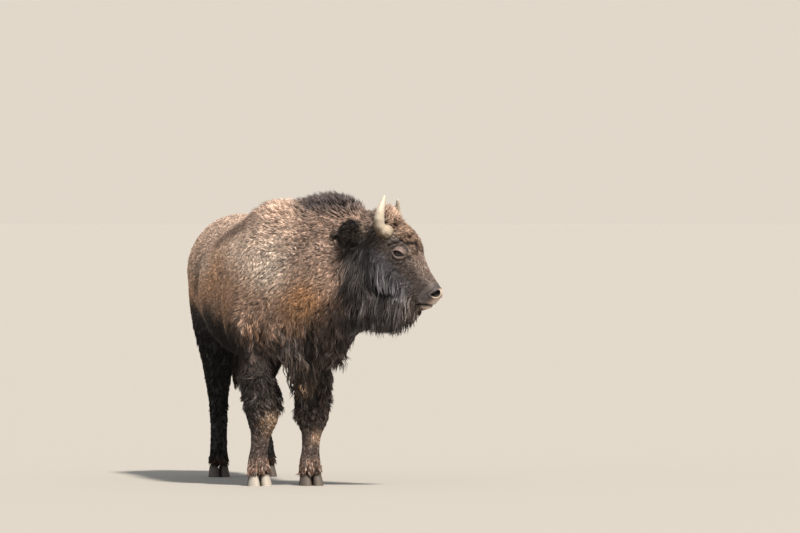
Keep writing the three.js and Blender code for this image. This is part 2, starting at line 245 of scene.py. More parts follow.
def earPlace(places):  # how far along an ear, and how far from its middle line
    s, t, w = toHead(places).T
    local = np.stack([s, t, np.abs(w)], 1) - earRoot
    way = unit(earTip - earRoot)
    along = local @ way
    return along, np.linalg.norm(local - along[:, None] * way, axis=1)


def earShare(places):
    along, aside = earPlace(places)
    near = smooth(0.0, 0.022, along) * smooth(0.24, 0.20, along) * smooth(0.090, 0.075, aside)
    return near * smooth(0.108, 0.120, np.abs(toHead(places)[:, 2]))


def tailShare(places):
    x, y, z = (places - animalZero).T
    return smooth(-0.775, -0.795, x) * smooth(0.045, 0.034, np.abs(y - 0.006))


def legShare(places):
    x, y, z = (places - animalZero).T
    rear = smooth(-0.1, -0.2, x)
    top = 0.60 + 0.05 * rear
    brisket = smooth(0.46, 0.52, x) * smooth(0.105, 0.075, np.abs(y - 0.01)) * smooth(0.44, 0.50, z)
    below = smooth(top, top - 0.10, z) * (1 - tailShare(places)) * (1 - headShare(places))
    return below * (1 - brisket) * (1 - tasselShare(places) * smooth(0.36, 0.40, z))


def eyeField(head):  # across and up the lids, outward, from the eye's middle, and from the lids' edge
    s, t, w = head.T
    a = (s - eyePlace[0]) * math.cos(lidTilt) + (t - eyePlace[1]) * math.sin(lidTilt)
    b = -(s - eyePlace[0]) * math.sin(lidTilt) + (t - eyePlace[1]) * math.cos(lidTilt)
    c = np.abs(w) - eyePlace[2]
    height = np.where(b > 0, *lidHeights) * (1 - (a / eyeHalf) ** 2)
    return a, b, c, np.hypot(a, b), np.abs(b) - height


nostril = np.array([0.396, 0.0085, 0.040])
nostrilWay = unit([0.50, 0.05, 0.86])
nostrilHalf = (0.0240, 0.0138)  # half its length and half its breadth


def nostrilField(head):  # 1 on the nostril's edge, and the height over its plane
    local = np.stack([head[:, 0], head[:, 1], np.abs(head[:, 2])], 1) - nostril
    longWay = np.array([math.cos(headPitch), math.sin(headPitch), 0.0])
    longWay = unit(longWay - nostrilWay * (longWay @ nostrilWay))
    p, q = local @ longWay, local @ np.cross(nostrilWay, longWay)
    long, broad = nostrilHalf
    return np.hypot(p / long, q / (broad * (1 + 0.40 * p / long))), local @ nostrilWay


def mouthField(head):  # up from the line of the mouth, and how much of the mouth is there
    s, t, w = head.T
    line = np.interp(s, [0.366, 0.412, 0.440], [-0.0895, -0.050, -0.040])
    return (t - line) * 0.76, smooth(0.352, 0.366, s)


skin = {
    "grow": 0.005,  # closes the gaps between the nodes, and is taken off again with the coat's depth
    "voxel": 0.0122,
    "seat": 0.036,  # fills the head under a horn's base
    "spurSeat": 0.021,  # carries a dewclaw
    "steps": 6,  # it is drawn in by steps, so that tight places do not fold
    "fleshNodes": ["head", "muzzle", "jaw", "neck", "trunk_shoulders", "trunk_barrel", "trunk_rump",
                   "ear_left", "ear_right", "tail_dock"],
    "cores": ["beard", "brisket_mane", "tail_tuft"],  # what the longest locks hang on
}
for leg in ("foreleg", "hindleg"):
    for side in sides:
        skin["fleshNodes"] += [f"{leg}_{side}_{part}" for part in ("upper", "shank", "pastern")]


def coatDepth(places):  # how far the skin lies inside the coat's tips
    x, y, z = (places - animalZero).T
    s, t, w = toHead(places).T
    neckness = smooth(0.30, 0.62, x)
    depth = 0.013 + 0.013 * neckness + 0.016 * neckness * smooth(1.18, 1.32, z)
    depth += 0.012 * smooth(0.1, 0.5, x) * smooth(0.78, 0.62, z) - 0.005 * smooth(-0.3, -0.6, x)
    face = 0.005 + 0.010 * smooth(0.22, 0.02, s) * smooth(-0.02, -0.12, t)
    face += 0.024 * smooth(0.235, 0.12, s) * smooth(0.035, 0.10, t) - 0.003 * smooth(0.33, 0.37, s)
    depth += headShare(places) * (face - depth)
    depth += beardShare(places) * smooth(-0.08, -0.22, t) * (0.030 - depth)
    upperLeg = 0.010 + 0.010 * smooth(0, 0.2, x) * smooth(0.32, 0.44, z)
    depth += legShare(places) * (upperLeg - depth)
    depth += smooth(0.34, 0.27, z) * (0.006 - depth)
    depth += tasselShare(places) * (0.034 + 0.024 * smooth(0.54, 0.46, z) - depth)
    # a hollow before the haunch
    depth += 0.014 * bell(x, -0.33, 0.07) * bell(z, 0.95, 0.13) * smooth(0.1, 0.2, np.abs(y))
    depth += earShare(places) * (0.009 - depth)
    return depth + tailShare(places) * (0.008 + 0.012 * smooth(0.84, 0.76, z) - depth)


def makeBody():
    piece = copyOf(skin["fleshNodes"] + skin["cores"] + ["eye_left", "eye_right"], "skin")
    seats = []
    for side in sides.values():
        bpy.ops.mesh.primitive_ico_sphere_add(
            subdivisions=3, radius=skin["seat"], location=onHead(0.034, 0.050, side * 0.080))
        seats.append(bpy.context.object)
    for leg in ("foreleg", "hindleg"):
        for side in sides:
            ankle = boxCentre(f"{leg}_{side}_pastern")
            for edge in ("inner", "outer"):
                spur = boxCentre(f"{leg}_{side}_dewclaw_{edge}")
                place = spur + unit((ankle - spur) * [1, 1, 0]) * 0.014 + upward * 0.010
                bpy.ops.mesh.primitive_ico_sphere_add(
                    subdivisions=2, radius=skin["spurSeat"], location=place)
                seats.append(bpy.context.object)
    activate(piece, *seats)
    bpy.ops.object.join()
    bpy.ops.object.mode_set(mode="EDIT")
    bpy.ops.mesh.select_all(action="SELECT")
    bpy.ops.transform.shrink_fatten(value=skin["grow"])
    bpy.ops.object.mode_set(mode="OBJECT")
    applyModifier(piece, "REMESH", mode="VOXEL", voxel_size=skin["voxel"], adaptivity=0.0)
    edges = readEdges(piece)
    places = readPlaces(piece)
    fine = np.maximum(np.maximum(headShare(places) * 0.75, legShare(places) * 0.8), earShare(places) * 0.9)
    fine = np.maximum(fine, tailShare(places) * 0.9)
    places = relaxed(places, edges, 14, 1 - fine)
    for _ in range(skin["steps"]):
        writePlaces(piece, places)
        inward = unit(relaxed(readNormals(piece), edges, 4))
        places = places - inward * ((coatDepth(places) + skin["grow"]) / skin["steps"])[:, None]
        places = relaxed(places, edges, 1, 0.6)
    writePlaces(piece, relaxed(places, edges, 4, 1 - 0.7 * fine))
    print("body: faces", len(piece.data.polygons))
    return piece


def refine(piece, share):  # halves the faces where share says, and rounds the new ones
    centres = np.empty(len(piece.data.polygons) * 3)
    piece.data.polygons.foreach_get("center", centres)
    activate(piece)
    bpy.ops.object.mode_set(mode="EDIT")
    bpy.ops.mesh.select_mode(type="FACE")
    bpy.ops.mesh.select_all(action="DESELECT")
    bpy.ops.object.mode_set(mode="OBJECT")
    piece.data.polygons.foreach_set("select", share(centres.reshape(-1, 3)) > 0.5)
    bpy.ops.object.mode_set(mode="EDIT")
    bpy.ops.mesh.subdivide(number_cuts=1, smoothness=0)
    bpy.ops.object.mode_set(mode="OBJECT")
    places = readPlaces(piece)
    writePlaces(piece, relaxed(places, readEdges(piece), 3, share(places)))


def wholeHead(places):
    return np.maximum(headShare(places) * smooth(-0.06, -0.02, toHead(places)[:, 0]), earShare(places))


def finerFace(places):
    head = toHead(places)
    a, b, c, away, edge = eyeField(head)
    eyes = smooth(0.075, 0.065, away) * smooth(-0.06, -0.04, c)
    muzzle = smooth(0.325, 0.345, head[:, 0]) * headShare(places)
    return np.maximum(eyes, muzzle)


def finestFace(places):
    head = toHead(places)
    a, b, c, away, edge = eyeField(head)
    ring, over = nostrilField(head)
    line, mouth = mouthField(head)
    eyes = smooth(0.042, 0.036, away) * smooth(-0.05, -0.03, c)
    holes = smooth(2.0, 1.8, ring) * smooth(0.035, 0.030, np.abs(over))
    return np.maximum(np.maximum(eyes, holes), mouth * smooth(0.012, 0.010, np.abs(line)) * headShare(places))


def withEyes(head):  # lids over the balls, an opening in them, and folds round them
    a, b, c, away, edge = eyeField(head)
    dome = np.sqrt(lidRadius ** 2 - np.minimum(away, 0.0264) ** 2)
    lids = c + smooth(0.034, 0.021, away) * (np.maximum(dome, c) - c)
    span = smooth(0.048, 0.028, np.abs(a))
    upper = 0.0014 * bell(edge, 0.0045, 0.003) - 0.0040 * bell(edge, 0.0250, 0.0035)
    lower = 0.0018 * bell(edge, 0.0055, 0.003) - 0.0036 * bell(edge, 0.0170, 0.0030)
    lower += 0.0014 * bell(edge, 0.0250, 0.003) - 0.0030 * bell(edge, 0.0340, 0.0035)
    lids += span * np.where(b > 0, upper, lower)
    lids -= 0.006 * bell(b, 0.040, 0.010) * bell(a, 0.004, 0.042)  # under the brow
    lids -= 0.006 * bell(a, 0.045, 0.013) * bell(b, -0.010, 0.013)  # before the inner corner
    opening = smooth(0.0002, 0.0024, -edge) * (np.abs(a) < eyeHalf)
    lids += opening * (-0.007 - lids)
    outside = smooth(-0.045, -0.025, c)
    result = head.copy()
    result[:, 2] = np.sign(head[:, 2]) * (eyePlace[2] + c + outside * smooth(0.075, 0.055, away) * (lids - c))
    return result


def withMuzzle(head, normals):  # nostrils with raised rims, and the mouth between its lips
    ring, over = nostrilField(head)
    near = smooth(0.040, 0.030, np.abs(over))
    push = near * (
        0.0035 * bell(ring, 1.28, 0.22) - 0.0025 * bell(ring, 1.85, 0.22) - 0.024 * smooth(1.04, 0.60, ring))
    way = nostrilWay * np.stack([np.ones(len(head)), np.ones(len(head)), np.sign(head[:, 2])], 1)
    line, mouth = mouthField(head)
    lips = 0.0022 * bell(line, 0.010, 0.006) + 0.0030 * bell(line, -0.010, 0.007)
    lips -= 0.0080 * bell(line, 0.0, 0.0030)
    return head + way * push[:, None] + normals * (lips * mouth * (ring > 1.6))[:, None]


def withEars(head, places, normals):  # a cup in the front of each ear
    side = np.sign(head[:, 2])
    front = np.stack([np.full(len(head), 0.528), np.full(len(head), 0.546), 0.65 * side], 1)
    along, aside = earPlace(places)
    cup = bell(aside, 0.0, 0.026) * smooth(0.010, 0.035, along) * smooth(0.150, 0.105, along)
    facing = smooth(0.15, 0.5, np.sum(normals * front, 1))
    return head - front * (0.011 * cup * facing * earShare(places))[:, None]


def makeSkin():
    piece = makeBody()
    for share in (wholeHead, finerFace, finestFace):
        refine(piece, share)
    places, normals = readPlaces(piece), readNormals(piece) @ headAxes.T
    head = withEars(toHead(places), places, normals)
    head = withEyes(withMuzzle(head, normals))
    places = headZero + head @ headAxes
    writePlaces(piece, relaxed(places, readEdges(piece), 1, finestFace(places) * 0.5))
    activate(piece)
    bpy.ops.object.mode_set(mode="EDIT")
    bpy.ops.mesh.select_all(action="SELECT")
    bpy.ops.uv.smart_project(angle_limit=math.radians(66), island_margin=0.002)
    bpy.ops.object.mode_set(mode="OBJECT")
    piece.data.uv_layers[0].name = "OFBake"
    print("skin: faces", len(piece.data.polygons))
    return smoothShaded(piece)


skinPiece = makeSkin()
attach(skinPiece, "root")
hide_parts(*skin["fleshNodes"])


def toLinear(hexColour, alpha=1.0):
    channels = [int(hexColour[i:i + 2], 16) / 255 for i in (1, 3, 5)]
    return (*(c / 12.92 if c <= 0.04045 else ((c + 0.055) / 1.055) ** 2.4 for c in channels), alpha)


def newMaterial(name):
    material = bpy.data.materials.new(name)
    material.use_nodes = True
    tree = material.node_tree
    return material, tree, tree.nodes["Principled BSDF"]


# inputs holds a value or another node's socket under each socket's name or number
def addNode(tree, kind, inputs=None, **settings):
    node = tree.nodes.new(kind)
    for key, value in settings.items():
        setattr(node, key, value)
    for key, value in (inputs or {}).items():
        if isinstance(value, bpy.types.NodeSocket):
            tree.links.new(value, node.inputs[key])
        else:
            node.inputs[key].default_value = value
    return node


# colours of the coat's markings, with painted highlights and painted shade among them
markingsAndPaintedLight = {  # the same on the skin and on the coat
    "flank": "#a3826b",
    # partly paler coat on the back, partly a painted highlight on the sunlit top
    "back": "#dcc3b2",
    "ochre": "#c99d78",
    "tawny": "#a57750",
    # a darker grey-mauve band: partly coat colour, partly painted shade in the hollow behind the withers
    "saddle": "#8a7266",
    # a painted highlight
    "shoulder": "#f0e1d4",
    "neck": "#c0a595",
    "crest": "#39373d",
    # dark underside: partly dark coat, partly painted shade
    "under": "#180f0a",
    # dark hair and painted shadow under the belly
    "hindLeg": "#060504",
    "foreLeg": "#403836",
    "knee": "#b18f72",
    "shank": "#55453f",
    "pastern": "#a5826f",
    "chest": "#514643",
    "face": "#6e6059",
    # greyer hair with a painted blue-grey sheen
    "cheek": "#858289",
    "nape": "#2b2523",
    "forehead": "#8d7768",
    "bridge": "#68574d",
    "muzzleTop": "#3d383a",
    "muzzleRim": "#cdb9aa",
    "lip": "#9d7f70",
    # painted shade inside the nostrils and the lids' opening
    "inside": "#0d0908",
    "ear": "#251f1c",
    "lid": "#7c6b65",
    # paler lid skin with painted highlights on its ridges
    "lidEdge": "#b8a59d",
    # painted shade in the creases and hollows round the eyes and in the mouth's line; the ring round the eye
    # is partly dark skin
    "lidFoldShade": "#241c1b",
    "beard": "#454041",
    "tassel": "#4b3e36",
    "tail": "#33261f",
}


# each is a marking of the coat, a painted highlight or painted shade
def lay(colour, name, share):  # one marking over those below it
    colour += np.clip(share, 0, 1)[:, None] * (np.array(toLinear(markingsAndPaintedLight[name])[:3]) - colour)


def layTrunk(colour, places):
    x, y, z = (places - animalZero).T

    def patch(cx, cz, rx, rz):
        return bell(x, cx, rx) * bell(z, cz, rz)

    rough = 0.016 * swirl(places, 0.04, 72)[:, 0] + 0.020 * swirl(places, 0.10, 73)[:, 0]
    rough += 0.03 * swirl(places, 0.3, 74)[:, 0]
    # back and flanks, paler on top partly from the coat and partly as a painted highlight, and the shoulder's
    # pale patch, a painted highlight
    lay(colour, "back", smooth(0.98, 1.12, z) * 0.8)
    lay(colour, "back", 0.8 * patch(-0.54, 1.06, 0.28, 0.10))
    lay(colour, "ochre", 0.75 * patch(0.05, 1.02, 0.34, 0.11) + 0.4 * patch(-0.55, 1.0, 0.2, 0.13))
    lay(colour, "back", 0.75 * patch(-0.20, 1.03, 0.28, 0.07))
    # darker band along the hollow behind the withers: partly coat colour, partly painted shade
    lay(colour, "saddle", bell(z, 1.15 + 0.18 * x, 0.050) * smooth(-0.25, 0.0, x) * smooth(0.56, 0.44, x))
    # painted highlight on the front of the shoulder and above it
    lay(colour, "shoulder", 0.9 * patch(0.72, 1.02, 0.14, 0.11) + 0.35 * patch(0.5, 1.1, 0.2, 0.1))
    # neck, and the creases of its turn, whose dark lines are painted shade in the folds
    neckness = smooth(0.66, 0.82, x + 0.35 * np.maximum(y, 0))
    lay(colour, "neck", 0.9 * neckness * smooth(0.85, 0.98, z))
    lay(colour, "nape", 0.25 * bell(x, 0.82, 0.07) * bell(z, 1.15, 0.09))
    folds = np.sin(2 * math.pi * (z + 0.30 * y + 0.5 * rough) / 0.019)
    creased = bell(x, 0.80, 0.06) * bell(z, 1.16, 0.055) * bell(y, 0.08, 0.06)
    lay(colour, "under", 0.85 * smooth(0.1, 0.8, folds) * creased)
    # the dark underside with a ragged edge, partly dark coat and partly painted shade under the belly's
    # bulge, and the breast
    # painted shade in the hollow before the haunch
    lay(colour, "under", 0.55 * bell(x, -0.33, 0.06) * bell(z, 0.97, 0.12))
    lay(colour, "under", smooth(0.84, 0.70, z + rough - 0.06 * smooth(0.5, 0.3, x)) * smooth(0.70, 0.56, x))
    chestEdge = z + 0.6 * rough - 0.10 * smooth(0.0, 0.10, y) - 0.25 * np.maximum(y - 0.06, 0)
    lay(colour, "chest", smooth(0.83, 0.71, chestEdge) * smooth(0.5, 0.62, x))
    lay(colour, "ochre", 1.4 * smooth(0.62, 0.70, x) * bell(z, 0.88, 0.075) * bell(y, 0.04, 0.065))
    lay(colour, "neck", 0.75 * bell(x, 0.64, 0.08) * bell(z, 0.82, 0.08) * smooth(0.0, -0.08, y))
    lay(colour, "beard", smooth(0.24, 0.34, y) * smooth(1.05, 0.92, z) * smooth(0.55, 0.70, x))
    # dark coat and painted shade low on the front of the trunk
    lay(colour, "under", smooth(0.66, 0.54, z) * smooth(0.4, 0.6, x) * 0.8)
    lay(colour, "tassel", tasselShare(places) * 0.8)
    lay(colour, "knee", 0.3 * tasselShare(places) * bell(z, 0.49, 0.04))
    lay(colour, "tawny", 0.6 * patch(0.66, 0.74, 0.07, 0.05) * bell(np.abs(y), 0.17, 0.045))
    crest = smooth(1.21, 1.29, z) * smooth(0.42, 0.60, x) * (1 - headShare(places))
    lay(colour, "crest", 0.9 * crest * smooth(0.02, 0.10, y))
    lay(colour, "under", smooth(-0.70, -0.80, x) * 0.5)


def layLegs(colour, places):
    x, y, z = (places - animalZero).T
    leg = legShare(places)
    front = smooth(-0.1, 0.1, x)
    lay(colour, "foreLeg", leg * front)
    lay(colour, "shank", leg * front * smooth(0.02, 0.08, y) * 0.6)
    # the hind legs and the low rear of the trunk nearly black: dark hair and painted shadow under the belly
    lay(colour, "hindLeg", np.maximum(leg, smooth(0.80, 0.62, z) * smooth(-0.1, -0.3, x)) * (1 - front))
    ragged = 0.012 * swirl(places, 0.03, 71)[:, 0]
    rightPatella = bell(z + ragged, 0.305, 0.052) * bell(y + ragged, -0.080, 0.042)
    leftPatella = bell(z + ragged, 0.228, 0.032) * bell(y, 0.142, 0.028)
    lay(colour, "shank", leg * front * smooth(0.27, 0.22, z))
    patella = np.where(y < 0, rightPatella, leftPatella)
    lay(colour, "knee", 1.4 * front * patella * smooth(0.535, 0.570, x + 0.5 * ragged))
    lay(colour, "pastern", leg * front * smooth(0.15, 0.09, z) * 0.9)
    lay(colour, "pastern", leg * (1 - front) * smooth(0.12, 0.06, z) * 0.35)
    lay(colour, "tail", tailShare(places))


def layFace(colour, places):
    s, t, w = toHead(places).T
    on = headShare(places)
    underEar = smooth(-0.17, -0.06, s) * smooth(0.03, -0.01, t) * smooth(-0.19, -0.10, t)
    lay(colour, "nape", (1 - on) * underEar * smooth(0.05, 0.09, np.abs(w)) * 0.85)
    lay(colour, "face", on)
    # grey-blue on the cheeks: greyer hair and a painted blue-grey sheen
    lay(colour, "cheek", on * smooth(0.0, -0.06, t) * smooth(0.34, 0.26, s))
    lay(colour, "beard", beardShare(places) * smooth(-0.10, -0.14, t))
    lay(colour, "nape", on * smooth(0.10, 0.02, s) * smooth(0.06, 0.0, t) * 0.8)
    lay(colour, "bridge", on * smooth(0.02, 0.06, t) * smooth(0.16, 0.20, s) * 0.8)
    lay(colour, "bridge", on * bell(s, 0.255, 0.045) * bell(t, -0.02, 0.030) * 0.5)
    lay(colour, "forehead", on * foreheadShare(s, t, w))
    lay(colour, "neck", on * smooth(0.02, -0.03, s) * smooth(0.07, 0.10, t))


def layLids(colour, places):
    a, b, c, away, edge = eyeField(toHead(places))
    beside = smooth(-0.05, -0.02, c)
    # painted shade under the brow, before the inner corner, below the eye and in a ring round it
    brow = bell(b, 0.059 - 7.2 * (a - 0.015) ** 2, 0.0085) * smooth(0.072, 0.055, np.abs(a - 0.008))
    lay(colour, "lidFoldShade", 1.3 * brow * smooth(-0.085, -0.055, c))
    lay(colour, "lidFoldShade", beside * 0.85 * bell(a, 0.050, 0.013) * bell(b, -0.010, 0.012))
    lay(colour, "lidFoldShade", beside * 0.5 * bell(a, 0.009, 0.022) * bell(b, -0.068, 0.010))
    lay(colour, "lidFoldShade", beside * 0.6 * smooth(0.048, 0.032, away))
    lid = np.where(b > 0, 0.9 * smooth(0.024, 0.016, edge), 0.6 * smooth(0.017, 0.012, edge))
    lay(colour, "lid", beside * smooth(0.036, 0.020, np.abs(a)) * lid)
    # painted shade in the creases of the lids
    upperFolds = np.maximum(bell(edge, 0.0020, 0.0018), 0.8 * bell(edge, 0.0260, 0.0032))
    lowerFolds = np.maximum(bell(edge, 0.0175, 0.0030), 0.8 * bell(edge, 0.0345, 0.0036))
    lay(colour, "lidFoldShade", beside * smooth(0.048, 0.030, np.abs(a)) * np.where(b > 0, upperFolds, lowerFolds))
    # pale lower lid skin, with painted highlights on its ridges
    lowerRidges = bell(edge, 0.0060, 0.0034) + 0.6 * bell(edge, 0.0255, 0.0032)
    lay(colour, "lidEdge", beside * (b < 0) * lowerRidges * smooth(0.034, 0.020, np.abs(a - 0.002)))
    # painted shade inside the lids' opening
    lay(colour, "inside", beside * smooth(0.0016, -0.0002, edge) * smooth(0.031, 0.029, np.abs(a)))


def layMuzzle(colour, places):
    head, on = toHead(places), headShare(places)
    s, t, w = head.T
    ring, over = nostrilField(head)
    close = smooth(0.045, 0.035, np.abs(over))
    lay(colour, "muzzleTop", on * smooth(0.365, 0.385, s) * smooth(0.0, 0.02, t))
    beforeRim = smooth(0.325, 0.370, s) * smooth(0.402, 0.392, s)
    lay(colour, "muzzleTop", on * beforeRim * smooth(-0.075, -0.05, t) * 0.8)
    lay(colour, "lip", on * smooth(0.396, 0.410, s) * smooth(-0.005, -0.02, t) * 0.5)
    lay(colour, "muzzleRim", on * smooth(0.402, 0.416, s) * smooth(0.034, 0.018, t))
    foreRim = smooth(-0.008, 0.006, s - nostril[0] + 0.25 * (t - nostril[1]))
    lay(colour, "muzzleRim", close * smooth(1.70, 1.35, ring) * foreRim)
    line, mouth = mouthField(head)
    lay(colour, "muzzleRim", on * mouth * bell(line, -0.014, 0.007) * smooth(0.37, 0.39, s) * 0.7)
    # painted shade in the mouth's line
    lay(colour, "lidFoldShade", on * mouth * bell(line, 0.0, 0.0060) * smooth(0.45, 0.43, s))
    # painted shade in the nostrils
    lay(colour, "inside", close * smooth(1.12, 0.95, ring))


def hideColour(places):
    colour = np.tile(toLinear(markingsAndPaintedLight["flank"])[:3], (len(places), 1))
    for layPart in (layTrunk, layLegs, layFace, layLids, layMuzzle):
        layPart(colour, places)
    lay(colour, "ear", earShare(places))
    return colour


coatPlans = [  # name, rings in each tuft, tufts, width, gather, tufts in a lock, contrast from lock to lock
    ("coat_croup", 2, 14000, 0.0054, 0.16, 3, 0.24),
    ("coat_flank", 2, 13000, 0.0054, 0.16, 3, 0.26),
    ("coat_barrel", 2, 14000, 0.0050, 0.18, 3, 0.26),
    ("coat_shoulder", 2, 15500, 0.0047, 0.20, 3, 0.26),
    ("coat_neck", 2, 16000, 0.0048, 0.36, 6, 0.30),
    ("coat_crest", 3, 6000, 0.0052, 0.40, 7, 0.2),
    ("coat_chest", 4, 6200, 0.0062, 0.62, 9, 0.85),
    ("coat_forelegs", 2, 12500, 0.0056, 0.50, 8, 0.50),
    ("coat_hindlegs", 2, 7500, 0.0064, 0.40, 7, 0.3),
    ("coat_face", 1, 21500, 0.0040, 0.30, 5, 0.32),
    ("coat_forehead", 2, 9000, 0.0038, 0.26, 8, 0.3),
    ("coat_beard", 4, 5500, 0.0060, 0.34, 7, 0.62),
    ("coat_ears", 3, 1200, 0.0042, 0.45, 8, 0.35),
    ("coat_tail", 5, 800, 0.0060, 0.45, 8, 0.35),
]
coat = {
    name: {"rings": rings, "tufts": tufts, "width": width, "gather": gather, "locks": locks,
           "contrast": contrast, "seed": seed}
    for seed, (name, rings, tufts, width, gather, locks, contrast) in enumerate(coatPlans, 1)
}
tuft = {
    "sunk": 0.0015,  # its root lies this deep
    "clear": 0.004,  # its lowest point over the floor
    "wave": 0.075,  # length of a curl's wave along it
    "reach": 0.05,  # a tuft further than this from its lock's leader stands alone
    "uneven": 0.34,  # contrast from tuft to tuft
    "tones": (0.15, 2.0),
    "patch": 0.003,  # width of its patch on the unwrap
    "profiles": {  # its width at each ring, as a share
        1: [1.0], 2: [0.85, 0.80], 3: [0.75, 1.0, 0.62],
        4: [0.7, 1.0, 0.85, 0.55], 5: [0.7, 1.0, 0.95, 0.8, 0.5],
    },
}


def beardFloor(places):  # how low the beard hangs
    stations, floors = [-0.11, 0.0, 0.07, 0.12, 0.16, 0.20], [0.715, 0.716, 0.708, 0.718, 0.750, 0.79]
    return np.interp(beardPlace(places)[0], stations, floors)


